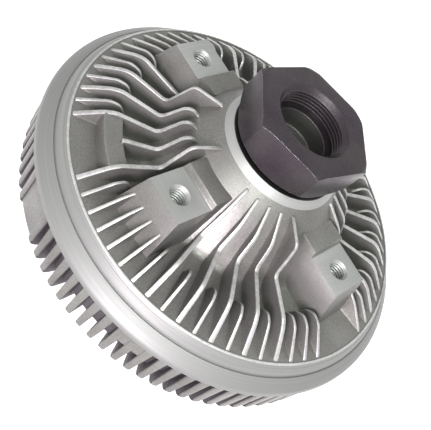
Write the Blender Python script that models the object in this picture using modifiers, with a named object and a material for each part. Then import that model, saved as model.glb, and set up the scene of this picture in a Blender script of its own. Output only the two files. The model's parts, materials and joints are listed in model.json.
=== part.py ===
"""Viscous fan clutch of an engine cooling fan, at full size.

Metres, +Z up along the shaft. The origin is the middle of the plane that the
front fins rest on. Heights called LEVEL are measured from the split plane, the
lower edge of the rolled rim, which lies FRONT_DEPTH above the origin.
"""

import math

import bmesh
import bpy
from mathutils import Matrix, Vector

MM = 0.001
DEG = math.pi / 180.0

# Clearance kept between pieces that seat on one another, how far a cutter runs past
# the face that it cuts, and the distance under which a turned shape's points merge.
CLEARANCE = 0.3 * MM
CUT_OVERRUN = 1.0 * MM
MERGE_DISTANCE = 0.01 * MM

# Overall form and the two castings' common split.
RIM_RADIUS = 85.0 * MM
FRONT_DEPTH = 27.5 * MM
LIP_WIDTH = 9.2 * MM
FLOOR_LEVEL = 10.4 * MM
FLOOR_RADIUS = RIM_RADIUS - LIP_WIDTH
FLANGE_LIP = 2.6 * MM
FLANGE_RADIUS = FLOOR_RADIUS + FLANGE_LIP
FLANGE_STEP = 1.0 * MM
FLANGE_SHOULDER = 3.6 * MM
FLANGE_FOOT_LEVEL = 1.0 * MM

# Rolled lip of the front cover, seen from outside.
LIP_GROOVE_INSET = 5.4 * MM
LIP_GROOVE_LEVEL = 6.2 * MM
LIP_BELLY_INSET = 1.7 * MM
LIP_BELLY_LEVEL = 3.4 * MM
LIP_BEAD_WIDTH = 0.9 * MM
LIP_BEAD_RISE = 0.4 * MM

# Ball bearing in the hub. Its bore and balls keep their share of its outside size.
BEARING_RADIUS = 26.0 * MM
BEARING_BORE_SHARE = 0.481
BEARING_BORE_RADIUS = BEARING_BORE_SHARE * BEARING_RADIUS
BEARING_WIDTH = 15.0 * MM
BALL_COUNT = 9
BALL_SHARE = 0.294
BALL_RADIUS = BALL_SHARE * (BEARING_RADIUS - BEARING_BORE_RADIUS)
BALL_CIRCLE_RADIUS = (BEARING_RADIUS + BEARING_BORE_RADIUS) / 2.0
RACE_GROOVE_SHARE = 0.2
RACE_EDGE = (1.0 - RACE_GROOVE_SHARE) * BALL_RADIUS
OUTER_RACE_INNER_RADIUS = BALL_CIRCLE_RADIUS + RACE_EDGE
INNER_RACE_OUTER_RADIUS = BALL_CIRCLE_RADIUS - RACE_EDGE
CAGE_HALF_WIDTH = 0.34 * BALL_RADIUS
CAGE_POCKET_PLAY = 0.48 * MM
CAGE_POCKET_RADIUS = BALL_RADIUS + CAGE_POCKET_PLAY
CAGE_RING_HEIGHT = 1.45 * MM
CAGE_FOOT_DROP = CAGE_POCKET_RADIUS + CAGE_RING_HEIGHT
CAGE_RISE = 2.1 * MM
SHIELD_THICKNESS = 0.7 * MM
CIRCLIP_THICKNESS = 1.5 * MM
CIRCLIP_REACH = 1.0 * MM
CIRCLIP_WIDTH = 2.6 * MM
CIRCLIP_INNER_RADIUS = BEARING_RADIUS - CIRCLIP_WIDTH

# Working chamber, shared by both castings.
FLANGE_FACE_WIDTH = 6.4 * MM
CHAMBER_RADIUS = FLANGE_RADIUS - FLANGE_FACE_WIDTH
CHAMBER_ROOF_LEVEL = 6.2 * MM
CHAMBER_ROOF_INNER_RADIUS = BEARING_RADIUS + 11.0 * MM
CHAMBER_FLOOR_LEVEL = -5.0 * MM

# Hub of the rear housing: outside radius and height above the fin floor.
HUB_OUTLINE = [
    (BEARING_RADIUS - 3.2 * MM, 28.3 * MM),
    (BEARING_RADIUS, 25.6 * MM),
    (BEARING_RADIUS + 7.6 * MM, 18.5 * MM),
    (BEARING_RADIUS + 12.6 * MM, 10.2 * MM),
    (BEARING_RADIUS + 19.6 * MM, 0.0 * MM),
]
HUB_OPENING_INSET = 5.5 * MM
HUB_OPENING_RADIUS = BEARING_RADIUS - HUB_OPENING_INSET
HUB_ROOF_THICKNESS = 5.4 * MM
HUB_THROAT_HEIGHT = 1.8 * MM

# Fan pads: radial distances and heights above the fin floor.
PAD_COUNT = 4
PAD_HEIGHT = 16.9 * MM
PAD_HALF_WIDTH = 9.4 * MM
PAD_HUB_DISTANCE = 15.2 * MM
PAD_LENGTH = 16.6 * MM
PAD_INNER_RADIUS = BEARING_RADIUS + PAD_HUB_DISTANCE
PAD_OUTER_RADIUS = PAD_INNER_RADIUS + PAD_LENGTH
PAD_SLOPE_FOOT_RADIUS = PAD_OUTER_RADIUS + 0.405 * (FLOOR_RADIUS - PAD_OUTER_RADIUS)
PAD_SLOPE_MID_RADIUS = PAD_OUTER_RADIUS + 0.37 * (PAD_SLOPE_FOOT_RADIUS - PAD_OUTER_RADIUS)
PAD_SLOPE_MID_HEIGHT = 9.6 * MM
PAD_SIDE_DRAFT = 8.8 * DEG
SHOULDER_HEIGHT = 19.6 * MM
SHOULDER_RUN = 1.6 * MM
SHOULDER_LENGTH = 8.1 * MM
SHOULDER_OUTER_RADIUS = PAD_INNER_RADIUS - SHOULDER_RUN
SHOULDER_INNER_RADIUS = SHOULDER_OUTER_RADIUS - SHOULDER_LENGTH
STUD_EDGE_DISTANCE = 8.0 * MM
STUD_CIRCLE_RADIUS = PAD_OUTER_RADIUS - STUD_EDGE_DISTANCE
STUD_HOLE_RADIUS = 3.4 * MM
STUD_HOLE_DEPTH = 15.0 * MM
STUD_CHAMFER_RADIUS = 4.3 * MM

# Rear cooling fins. Crest points are a radius and a height above the floor.
FIN_COUNT = 68
FIN_ROOT_SINK = 1.2 * MM
LONG_FIN_HALF_WIDTH = 0.9 * MM
LONG_FIN_DRAFT = 0.9 * DEG
LONG_FIN_CREST = [
    (FLOOR_RADIUS - 0.6 * MM, 0.0 * MM),
    (FLOOR_RADIUS - 9.9 * MM, 7.2 * MM),
    (FLOOR_RADIUS - 13.8 * MM, 8.9 * MM),
    (BEARING_RADIUS + 18.6 * MM, 8.0 * MM),
    (BEARING_RADIUS + 13.7 * MM, 17.4 * MM),
    (BEARING_RADIUS + 10.2 * MM, 19.8 * MM),
    (BEARING_RADIUS + 2.2 * MM, 24.3 * MM),
]
SHORT_FIN_HALF_WIDTH = 0.55 * MM
SHORT_FIN_DRAFT = 1.7 * DEG
SHORT_FIN_CREST = [
    (FLOOR_RADIUS - 0.4 * MM, 0.0 * MM),
    (FLOOR_RADIUS - 10.9 * MM, 7.2 * MM),
    (FLOOR_RADIUS - 14.2 * MM, 7.5 * MM),
    (FLOOR_RADIUS - 16.1 * MM, 6.9 * MM),
    (FLOOR_RADIUS - 18.6 * MM, 4.0 * MM),
]
SHORT_FIN_INNER_RADIUS = FLOOR_RADIUS - 19.5 * MM
PAD_FIN_HEIGHT = 9.4 * MM
PLATEAU_HEIGHT = 7.5 * MM
PLATEAU_OUTER_RADIUS = FLOOR_RADIUS - 10.1 * MM
PLATEAU_WIDTH = 7.1 * MM
PLATEAU_DRAFT_RUN = 0.3 * MM
PLATEAU_INNER_RADIUS = PLATEAU_OUTER_RADIUS - PLATEAU_WIDTH
INNER_FIN_LAP = 0.8 * MM
INNER_FIN_START_RADIUS = PLATEAU_INNER_RADIUS + INNER_FIN_LAP
# Position in the quadrant of the long fins, and of the fins next to a pad.
LONG_FIN_PLACES = (3, 5, 7, 9, 11, 13)
PAD_FIN_PLACES = (0, 1, 15, 16)
# Fin places left out on the outside, as (quadrant, place) from pad 0.
PLAIN_SLOPE_PLACES = ((0, 15), (0, 16), (1, 0))
PLATEAU_PLACES = ((3, 10), (3, 11), (3, 12), (2, 4), (2, 5), (2, 6))
SHORTENED_PLACES = ((0, 13),)

# Front cooling fins, a comb of plates all round below the rim.
FRONT_FIN_COUNT = 88
FRONT_FIN_HALF_WIDTH = 1.05 * MM
FRONT_FIN_DRAFT = 1.3 * DEG
FRONT_FIN_TOP_INSET = 0.7 * MM
FRONT_FIN_LOW_INSET = 1.5 * MM
FRONT_FIN_LOW_RISE = 7.5 * MM
FRONT_FIN_TOP_RADIUS = RIM_RADIUS - FRONT_FIN_TOP_INSET
FRONT_FIN_LOW_RADIUS = RIM_RADIUS - FRONT_FIN_LOW_INSET
FRONT_FIN_LOW_LEVEL = FRONT_FIN_LOW_RISE - FRONT_DEPTH
FRONT_FIN_CORNER = 2.6 * MM
FRONT_FIN_CREST_LAP = 1.5
SEGMENT_START = -24.5 * DEG
SEGMENT_END = -12.3 * DEG
SEGMENT_INSET = 0.9 * MM
WEB_START = 20.5 * DEG
WEB_END = 28.6 * DEG
WEB_DEPTH = 10.5 * MM
WEB_INSET = 0.4 * MM
WEB_DRAFT_RUN = 0.3 * MM

# Front cover shell.
COVER_CONE_WIDTH = 23.0 * MM
COVER_SHOULDER_RADIUS = RIM_RADIUS - COVER_CONE_WIDTH
COVER_FACE_LEVEL = -18.0 * MM
COVER_FACE_THICKNESS = 4.0 * MM
RESERVOIR_FLOOR_LEVEL = COVER_FACE_LEVEL + COVER_FACE_THICKNESS
COVER_LAND_INSET = 14.5 * MM
COVER_LAND_RADIUS = CHAMBER_RADIUS - COVER_LAND_INSET
COVER_LAND_HEIGHT = 3.8 * MM
LAND_WIDTH = 1.6 * MM
SEAL_SIZE = 2.2 * MM
SEAL_RADIUS = (FLANGE_RADIUS + CHAMBER_RADIUS) / 2.0
FRONT_FIN_FLAT_RUN = 2.0 * MM
FRONT_FIN_FLAT_RADIUS = COVER_SHOULDER_RADIUS + FRONT_FIN_FLAT_RUN
FRONT_FIN_FACE_RUN = 12.0 * MM
FRONT_FIN_INNER_RADIUS = COVER_SHOULDER_RADIUS - FRONT_FIN_FACE_RUN

# Divider plate between the reservoir and the working chamber.
PLATE_INSET = 28.6 * MM
PLATE_RADIUS = CHAMBER_RADIUS - PLATE_INSET
PLATE_THICKNESS = 1.4 * MM
PLATE_DROP = 1.4 * MM
PLATE_TOP_LEVEL = CHAMBER_FLOOR_LEVEL - PLATE_DROP
PLATE_LEDGE_WIDTH = 5.9 * MM
RESERVOIR_RADIUS = PLATE_RADIUS - PLATE_LEDGE_WIDTH
PORT_RADIUS = 2.1 * MM
PORT_INSET = 6.5 * MM
PORT_CIRCLE_RADIUS = RESERVOIR_RADIUS - PORT_INSET
PLATE_SCREW_COUNT = 3
PLATE_SCREW_CIRCLE = (RESERVOIR_RADIUS + PLATE_RADIUS) / 2.0
PLATE_SCREW_RADIUS = 1.2 * MM
PLATE_SCREW_HEAD_RADIUS = 2.1 * MM
PLATE_SCREW_HEAD_HEIGHT = 1.0 * MM
PLATE_SCREW_LENGTH = 4.6 * MM

# Rotor disc on the inner end of the shaft.
ROTOR_EDGE_GAP = 4.0 * MM
ROTOR_RADIUS = CHAMBER_RADIUS - ROTOR_EDGE_GAP
ROTOR_TOP_LEVEL = 3.5 * MM
ROTOR_THICKNESS = 3.5 * MM
LAND_PITCH = 4.0 * MM
ROTOR_LAND_RADII = (COVER_LAND_RADIUS - LAND_PITCH, COVER_LAND_RADIUS + LAND_PITCH)
ROTOR_LAND_DEPTH = 3.6 * MM
ROTOR_SLEEVE_WALL = 3.3 * MM
ROTOR_SLEEVE_RADIUS = BEARING_BORE_RADIUS + ROTOR_SLEEVE_WALL
ROTOR_FOOT_LEVEL = -4.0 * MM

# Input shaft with its hexagon and threaded socket.
NUT_CORNER_RADIUS = 27.1 * MM
NUT_TURN = 50.0 * DEG
NUT_HEIGHT = 15.6 * MM
NUT_STAND_OFF = 1.8 * MM
NUT_BACK_CHAMFER_RADIUS = 23.3 * MM
NUT_FRONT_CHAMFER_RADIUS = 25.4 * MM
NUT_FRONT_CHAMFER_ANGLE = 30.0 * DEG
SHAFT_NECK_GAP = 3.5 * MM
SHAFT_NECK_RADIUS = HUB_OPENING_RADIUS - SHAFT_NECK_GAP
SHAFT_SHOULDER_INSET = 0.9 * MM
SHAFT_SHOULDER_RADIUS = INNER_RACE_OUTER_RADIUS - SHAFT_SHOULDER_INSET
SHAFT_SHOULDER_HEIGHT = 1.6 * MM
SHAFT_END_LEVEL = -3.4 * MM
SHAFT_END_CHAMFER = 1.0 * MM
SHAFT_JOIN_DEPTH = 2.0 * MM
SOCKET_RADIUS = 13.9 * MM
SOCKET_CHAMFER_RADIUS = 16.0 * MM
SOCKET_DEPTH = 9.3 * MM
SOCKET_BORE_RADIUS = 11.5 * MM
SOCKET_BORE_DEPTH = 17.6 * MM

# Valve shaft, arm and coil in the middle of the front cover.
VALVE_SHAFT_RADIUS = 3.0 * MM
VALVE_SHAFT_END_LEVEL = -26.0 * MM
VALVE_ARM_THICKNESS = 1.0 * MM
VALVE_ARM_HALF_WIDTH = 3.2 * MM
VALVE_ARM_REST_ANGLE = 0.0 * DEG
VALVE_ARM_HUB_RADIUS = 4.8 * MM
VALVE_ARM_ROUND_STEPS = 6
VALVE_END_CHAMFER = 0.5 * MM
VALVE_BOSS_RADIUS = 8.0 * MM
VALVE_BOSS_HEIGHT = 2.6 * MM
VALVE_SEAL_SIZE = 2.0 * MM
COIL_OUTER_RADIUS = 25.0 * MM
COIL_INNER_RADIUS = 4.4 * MM
COIL_TURNS = 3.25
COIL_STEPS_PER_TURN = 11
COIL_THICKNESS = 0.9 * MM
COIL_WIDTH = 6.2 * MM
COIL_DROP = 1.4 * MM
COIL_END_ANGLE = 150.0 * DEG
POST_SLOT_PLAY = 0.42 * MM
POST_HALF_LENGTH = 2.6 * MM
POST_WALL = 1.1 * MM
POST_FOOT_LENGTH = 7.0 * MM
POST_FOOT_THICKNESS = 1.0 * MM
POST_SCREW_RADIUS = 1.5 * MM
POST_SCREW_HEAD_RADIUS = 2.6 * MM
POST_SCREW_HEAD_HEIGHT = 1.4 * MM
POST_SCREW_LENGTH = 3.6 * MM

# Wiper at the edge of the working chamber.
WIPER_THICKNESS = 2.6 * MM
WIPER_HALF_ANGLE = 4.5 * DEG
WIPER_CENTRE_ANGLE = 200.0 * DEG

# Numbers of flats that stand for the round surfaces, the angle at which a faceted bar
# has its first corner, and the steps of the short swept shapes.
COVER_FACETS = FRONT_FIN_COUNT // 2
CHAMBER_FACETS = 24
HOUSING_FACETS = FIN_COUNT // 2
BEARING_FACETS = 20
ROTOR_FACETS = 20
SMALL_FACETS = 8
BAR_CORNER_ANGLE = 90.0 * DEG
PLATEAU_STEPS = 4
SEGMENT_STEPS = 3
WEB_STEPS = 2
WIPER_STEPS = 3

HUB_LEVEL = FLOOR_LEVEL + HUB_OUTLINE[0][1]
BEARING_TOP_LEVEL = HUB_LEVEL - HUB_ROOF_THICKNESS - CLEARANCE
BEARING_FOOT_LEVEL = BEARING_TOP_LEVEL - BEARING_WIDTH
BALL_LEVEL = BEARING_TOP_LEVEL - BEARING_WIDTH / 2.0
NUT_BACK_LEVEL = HUB_LEVEL + NUT_STAND_OFF
NUT_FACE_LEVEL = NUT_BACK_LEVEL + NUT_HEIGHT
REST_LEVEL = -FRONT_DEPTH
PLATE_FOOT_LEVEL = PLATE_TOP_LEVEL - PLATE_THICKNESS
LEDGE_LEVEL = PLATE_FOOT_LEVEL - CLEARANCE


def around(radius, facets):
    """Radius of a faceted bore whose flats clear a round piece."""
    return (radius + CLEARANCE) / math.cos(math.pi / facets)


def polar(radius, angle, level=0.0):
    return Vector((radius * math.cos(angle), radius * math.sin(angle), level))


def start_scene():
    for obj in list(bpy.data.objects):
        bpy.data.objects.remove(obj, do_unlink=True)
    model = bpy.data.collections.new("viscous_fan_clutch")
    cutters = bpy.data.collections.new("cutters")
    bpy.context.scene.collection.children.link(model)
    bpy.context.scene.collection.children.link(cutters)
    return model, cutters


MODEL, CUTTERS = start_scene()


def make_material(name, colour, roughness, metallic):
    material = bpy.data.materials.new(name)
    material.use_nodes = True
    shader = material.node_tree.nodes["Principled BSDF"]
    shader.inputs["Base Color"].default_value = (*colour, 1.0)
    shader.inputs["Roughness"].default_value = roughness
    shader.inputs["Metallic"].default_value = metallic
    return material


CAST_ALUMINIUM = make_material("cast_aluminium", (0.40, 0.41, 0.39), 0.48, 1.0)
PRESSED_ALUMINIUM = make_material("pressed_aluminium", (0.50, 0.50, 0.50), 0.38, 1.0)
MACHINED_STEEL = make_material("machined_steel", (0.12, 0.10, 0.11), 0.42, 1.0)
RACE_STEEL = make_material("race_steel", (0.55, 0.56, 0.57), 0.25, 1.0)
SHEET_STEEL = make_material("sheet_steel", (0.45, 0.45, 0.46), 0.4, 1.0)
SPRING_BIMETAL = make_material("spring_bimetal", (0.42, 0.36, 0.28), 0.4, 1.0)
CAGE_POLYMER = make_material("cage_polymer", (0.10, 0.08, 0.06), 0.6, 0.0)
SEAL_RUBBER = make_material("seal_rubber", (0.03, 0.03, 0.03), 0.75, 0.0)


def make_pivot(name):
    """Empty on the clutch's axis in the split plane, parent of a group."""
    empty = bpy.data.objects.new(name, None)
    empty.location = (0.0, 0.0, FRONT_DEPTH)
    MODEL.objects.link(empty)
    return empty


BODY = make_pivot("body_frame")
SHAFT_AXIS = make_pivot("shaft_axis")
CAGE_AXIS = make_pivot("cage_axis")
VALVE_AXIS = make_pivot("valve_axis")


def add_piece(name, mesh, parent, material):
    mesh.materials.clear()
    mesh.materials.append(material)
    obj = bpy.data.objects.new(name, mesh)
    obj.parent = parent
    MODEL.objects.link(obj)
    return obj


def add_cutter(name, mesh, parent):
    obj = bpy.data.objects.new(name, mesh)
    obj.parent = parent
    obj.hide_render = True
    obj.display_type = "WIRE"
    CUTTERS.objects.link(obj)
    return obj


def finish_mesh(name, bm):
    bmesh.ops.recalc_face_normals(bm, faces=bm.faces)
    mesh = bpy.data.meshes.new(name)
    bm.to_mesh(mesh)
    bm.free()
    return mesh


def profile_mesh(name, points, phase=0.0, closed=True):
    """Wire outline of a turned shape, in the half plane at the angle phase."""
    bm = bmesh.new()
    verts = [bm.verts.new(polar(r, phase, z)) for r, z in points]
    for first, second in zip(verts, verts[1:]):
        bm.edges.new((first, second))
    if closed:
        bm.edges.new((verts[-1], verts[0]))
    mesh = bpy.data.meshes.new(name)
    bm.to_mesh(mesh)
    bm.free()
    return mesh


def turn(obj, facets):
    screw = obj.modifiers.new("turn", "SCREW")
    screw.steps = facets
    screw.render_steps = facets
    screw.use_merge_vertices = True
    screw.merge_threshold = MERGE_DISTANCE
    return obj


def turned_piece(name, points, parent, material, facets, closed=True, phase=0.0):
    mesh = profile_mesh(name, points, phase, closed)
    obj = add_piece(name, mesh, parent, material)
    return turn(obj, facets)


def turned_cutter(name, points, parent, facets, closed=True, phase=0.0):
    mesh = profile_mesh(name, points, phase, closed)
    return turn(add_cutter(name, mesh, parent), facets)


def combine(obj, other, operation):
    boolean = obj.modifiers.new(operation.lower(), "BOOLEAN")
    boolean.operation = operation
    boolean.solver = "EXACT"
    boolean.object = other
    return obj


def smooth(obj, angle=32.0 * DEG):
    obj.data.shade_smooth()
    obj.data.set_sharp_from_angle(angle=angle)
    return obj


def add_plate_shape(bm, outline, half_width, turn_angle):
    """Plate standing on edge along a radius; half_width(level) tapers it."""
    before = set(bm.verts)
    face = bm.faces.new([bm.verts.new((r, 0.0, z)) for r, z in outline])
    grown = bmesh.ops.extrude_face_region(bm, geom=[face])["geom"]
    for item in grown:
        if isinstance(item, bmesh.types.BMVert):
            item.co.y = half_width(item.co.z)
    for vert in face.verts:
        vert.co.y = -half_width(vert.co.z)
    fresh = [v for v in bm.verts if v not in before]
    bmesh.ops.rotate(bm, verts=fresh, matrix=Matrix.Rotation(turn_angle, 3, "Z"))


def add_sector_shape(bm, outline, start, end, steps):
    """Solid swept from start to end about the axis from a closed outline."""
    verts = [bm.verts.new(polar(r, start, z)) for r, z in outline]
    face = bm.faces.new(verts)
    result = bmesh.ops.spin(
        bm,
        geom=[face],
        axis=(0.0, 0.0, 1.0),
        cent=(0.0, 0.0, 0.0),
        angle=end - start,
        steps=steps,
        use_duplicate=False,
    )
    return result


def add_rod_shape(bm, radius, top, foot, facets, matrix):
    """Straight round bar between two levels, before the matrix places it."""
    place = matrix @ Matrix.Translation((0.0, 0.0, (top + foot) / 2.0))
    bmesh.ops.create_cone(
        bm,
        cap_ends=True,
        segments=facets,
        radius1=radius,
        radius2=radius,
        depth=top - foot,
        matrix=place,
    )


# Rear housing.


def hub_points():
    return [(radius, FLOOR_LEVEL + height) for radius, height in HUB_OUTLINE]


def housing_profile():
    """Section of the rear housing, outside first, then the inside upwards."""
    step_level = FLOOR_LEVEL - FLANGE_STEP
    seat = around(BEARING_RADIUS, HOUSING_FACETS)
    groove = around(BEARING_RADIUS + CIRCLIP_REACH, HOUSING_FACETS)
    clip_foot = BEARING_FOOT_LEVEL - CIRCLIP_THICKNESS - 2.0 * CLEARANCE
    throat_level = clip_foot - HUB_THROAT_HEIGHT
    points = [(HUB_OPENING_RADIUS, HUB_LEVEL)]
    points += hub_points()
    points += [
        (FLOOR_RADIUS, FLOOR_LEVEL),
        (FLOOR_RADIUS, step_level),
        (FLANGE_RADIUS, FLANGE_FOOT_LEVEL + FLANGE_SHOULDER),
        (FLANGE_RADIUS, FLANGE_FOOT_LEVEL),
        (CHAMBER_RADIUS, FLANGE_FOOT_LEVEL),
        (CHAMBER_RADIUS, CHAMBER_ROOF_LEVEL),
        (CHAMBER_ROOF_INNER_RADIUS, CHAMBER_ROOF_LEVEL),
        (seat, throat_level),
        (seat, clip_foot),
        (groove, clip_foot),
        (groove, BEARING_FOOT_LEVEL),
        (seat, BEARING_FOOT_LEVEL),
        (seat, BEARING_TOP_LEVEL + CLEARANCE),
        (HUB_OPENING_RADIUS, BEARING_TOP_LEVEL + CLEARANCE),
    ]
    return points


def drafted_width(at_height, half_width, draft):
    """Function that gives half the thickness of a drafted wall at a level."""
    reference = FLOOR_LEVEL + at_height

    def width_at(level):
        return half_width + (reference - level) * math.tan(draft)

    return width_at


def rooted_outline(crest, inner_root):
    """Crest points closed below the floor, with the inner end sunk in."""
    root = FLOOR_LEVEL - FIN_ROOT_SINK
    outline = [(crest[0][0], root)]
    outline += [(radius, FLOOR_LEVEL + height) for radius, height in crest]
    return outline + inner_root


def hub_root():
    """Points inside the hub's wall that a long fin's inner end follows."""
    inside = []
    for radius, height in HUB_OUTLINE[2:-1]:
        inside.append((radius - FIN_ROOT_SINK, FLOOR_LEVEL + height - FIN_ROOT_SINK))
    first = (LONG_FIN_CREST[-1][0] - FIN_ROOT_SINK, hub_level_at(LONG_FIN_CREST[-1][0]))
    foot = (HUB_OUTLINE[-1][0] - FIN_ROOT_SINK, FLOOR_LEVEL - FIN_ROOT_SINK)
    return [first] + inside + [foot]


def hub_level_at(radius):
    """Level of the hub's outside at a radius, less the root's sink."""
    points = hub_points()
    for (r0, z0), (r1, z1) in zip(points, points[1:]):
        if r0 <= radius <= r1:
            share = (radius - r0) / (r1 - r0)
            return z0 + share * (z1 - z0) - FIN_ROOT_SINK
    return FLOOR_LEVEL - FIN_ROOT_SINK


def long_fin_outline():
    return rooted_outline(LONG_FIN_CREST, hub_root())


def inner_fin_outline():
    """Long fin without its outer slope, behind the plateau."""
    start = (INNER_FIN_START_RADIUS, LONG_FIN_CREST[2][1])
    return rooted_outline([(start[0], 0.0), start] + LONG_FIN_CREST[3:], hub_root())


def short_fin_outline():
    root = FLOOR_LEVEL - FIN_ROOT_SINK
    return rooted_outline(SHORT_FIN_CREST, [(SHORT_FIN_INNER_RADIUS, root)])


def pad_fin_outline():
    """Short fin that runs into the outer slope of a pad."""
    crest = [
        SHORT_FIN_CREST[0],
        (PAD_SLOPE_FOOT_RADIUS, SHORT_FIN_CREST[1][1]),
        (PAD_SLOPE_MID_RADIUS, PAD_FIN_HEIGHT),
    ]
    inner = PAD_OUTER_RADIUS - FIN_ROOT_SINK
    top = FLOOR_LEVEL + PAD_FIN_HEIGHT
    return rooted_outline(crest, [(inner, top), (inner, FLOOR_LEVEL - FIN_ROOT_SINK)])


def fin_kind(index):
    """What stands at one of the evenly spaced fin places, counted from pad 0."""
    quarter = FIN_COUNT // PAD_COUNT
    place = index % quarter
    quadrant = index // quarter
    if (quadrant, place) in PLAIN_SLOPE_PLACES:
        return "none"
    if (quadrant, place) in PLATEAU_PLACES:
        return "inner" if place in LONG_FIN_PLACES else "none"
    if (quadrant, place) in SHORTENED_PLACES:
        return "short"
    if place in LONG_FIN_PLACES:
        return "long"
    return "pad" if place in PAD_FIN_PLACES else "short"


def build_fins():
    pitch = 2.0 * math.pi / FIN_COUNT
    long_width = drafted_width(LONG_FIN_CREST[2][1], LONG_FIN_HALF_WIDTH, LONG_FIN_DRAFT)
    short_width = drafted_width(
        SHORT_FIN_CREST[2][1], SHORT_FIN_HALF_WIDTH, SHORT_FIN_DRAFT
    )
    kinds = {
        "long": (long_fin_outline(), long_width),
        "inner": (inner_fin_outline(), long_width),
        "short": (short_fin_outline(), short_width),
        "pad": (pad_fin_outline(), short_width),
    }
    bm = bmesh.new()
    for index in range(FIN_COUNT):
        kind = fin_kind(index)
        if kind in kinds:
            outline, width = kinds[kind]
            add_plate_shape(bm, outline, width, (index + 0.5) * pitch)
    return add_cutter("rear_fins", finish_mesh("rear_fins", bm), BODY)


def plateau_sector(first_place, quadrant):
    """Start and end angles of a plateau that spans three fin places."""
    pitch = 2.0 * math.pi / FIN_COUNT
    first = quadrant * (FIN_COUNT // PAD_COUNT) + first_place
    return (first - 0.5) * pitch, (first + 3.5) * pitch


def build_plateaus():
    root = FLOOR_LEVEL - FIN_ROOT_SINK
    top = FLOOR_LEVEL + PLATEAU_HEIGHT
    outline = [
        (PLATEAU_INNER_RADIUS, root),
        (PLATEAU_OUTER_RADIUS + PLATEAU_DRAFT_RUN, root),
        (PLATEAU_OUTER_RADIUS, top),
        (PLATEAU_INNER_RADIUS, top),
    ]
    bm = bmesh.new()
    for quadrant, place in (PLATEAU_PLACES[0], PLATEAU_PLACES[3]):
        start, end = plateau_sector(place, quadrant)
        add_sector_shape(bm, outline, start, end, PLATEAU_STEPS)
    return add_cutter("plateaus", finish_mesh("plateaus", bm), BODY)


def pad_outline():
    """Side view of a fan pad with its shoulder against the hub."""
    root = FLOOR_LEVEL - FIN_ROOT_SINK
    pad = FLOOR_LEVEL + PAD_HEIGHT
    shoulder = FLOOR_LEVEL + SHOULDER_HEIGHT
    return [
        (HUB_OUTLINE[3][0] - FIN_ROOT_SINK, root),
        (PAD_SLOPE_FOOT_RADIUS, root),
        (PAD_SLOPE_MID_RADIUS, FLOOR_LEVEL + PAD_SLOPE_MID_HEIGHT),
        (PAD_OUTER_RADIUS, pad),
        (PAD_INNER_RADIUS, pad),
        (SHOULDER_OUTER_RADIUS, shoulder),
        (SHOULDER_INNER_RADIUS, shoulder),
    ]


def build_pads():
    width = drafted_width(PAD_HEIGHT, PAD_HALF_WIDTH, PAD_SIDE_DRAFT)
    bm = bmesh.new()
    for index in range(PAD_COUNT):
        angle = 2.0 * math.pi * index / PAD_COUNT
        add_plate_shape(bm, pad_outline(), width, angle)
    return add_cutter("fan_pads", finish_mesh("fan_pads", bm), BODY)


def build_stud_holes():
    """Tapped holes in the pads, each with its chamfer."""
    pad = FLOOR_LEVEL + PAD_HEIGHT
    chamfer = STUD_CHAMFER_RADIUS - STUD_HOLE_RADIUS
    bm = bmesh.new()
    for index in range(PAD_COUNT):
        angle = 2.0 * math.pi * index / PAD_COUNT
        centre = polar(STUD_CIRCLE_RADIUS, angle)
        for top, foot, wide, narrow in (
            (pad - chamfer, pad - STUD_HOLE_DEPTH, STUD_HOLE_RADIUS, STUD_HOLE_RADIUS),
            (pad + chamfer, pad - chamfer, STUD_CHAMFER_RADIUS + chamfer, STUD_HOLE_RADIUS),
        ):
            bmesh.ops.create_cone(
                bm,
                cap_ends=True,
                segments=SMALL_FACETS,
                radius1=narrow,
                radius2=wide,
                depth=top - foot,
                matrix=Matrix.Translation(centre + Vector((0, 0, (top + foot) / 2))),
            )
    bmesh.ops.remove_doubles(bm, verts=bm.verts, dist=MERGE_DISTANCE)
    inner = [f for f in bm.faces if abs(f.calc_center_median().z - (pad - chamfer)) < 1e-6]
    bmesh.ops.delete(bm, geom=inner, context="FACES_ONLY")
    return add_cutter("stud_holes", finish_mesh("stud_holes", bm), BODY)


def build_rear_housing():
    half_pitch = math.pi / FIN_COUNT
    housing = turned_piece(
        "rear_housing",
        housing_profile(),
        BODY,
        CAST_ALUMINIUM,
        HOUSING_FACETS,
        phase=half_pitch,
    )
    combine(housing, build_pads(), "UNION")
    combine(housing, build_fins(), "UNION")
    combine(housing, build_plateaus(), "UNION")
    combine(housing, build_stud_holes(), "DIFFERENCE")
    return housing


# Front cover.


def lip_outer_points():
    """Outside of the rolled lip, from its end over the bead to the rim."""
    end = around(FLOOR_RADIUS, COVER_FACETS)
    bead_top = FLOOR_LEVEL + LIP_BEAD_RISE
    return [
        (end, bead_top),
        (end + LIP_BEAD_WIDTH, bead_top - LIP_BEAD_RISE),
        (RIM_RADIUS - LIP_GROOVE_INSET, LIP_GROOVE_LEVEL),
        (RIM_RADIUS - LIP_BELLY_INSET, LIP_BELLY_LEVEL),
        (RIM_RADIUS, 0.0),
    ]


def lip_inner_points():
    """Inside of the lip, from the shoulder up to its end."""
    pocket = around(FLANGE_RADIUS, COVER_FACETS)
    end = around(FLOOR_RADIUS, COVER_FACETS)
    run = FLANGE_RADIUS - FLOOR_RADIUS
    rise = (FLOOR_LEVEL - FLANGE_STEP) - (FLANGE_FOOT_LEVEL + FLANGE_SHOULDER)
    lift = CLEARANCE * math.hypot(run, rise) / run
    slope_foot = FLANGE_FOOT_LEVEL + FLANGE_SHOULDER
    return [
        (pocket, FLANGE_FOOT_LEVEL - CLEARANCE),
        (pocket, slope_foot + lift - (pocket - FLANGE_RADIUS) * rise / run),
        (end, FLOOR_LEVEL - FLANGE_STEP + lift - (end - FLOOR_RADIUS) * rise / run),
    ]


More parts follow.
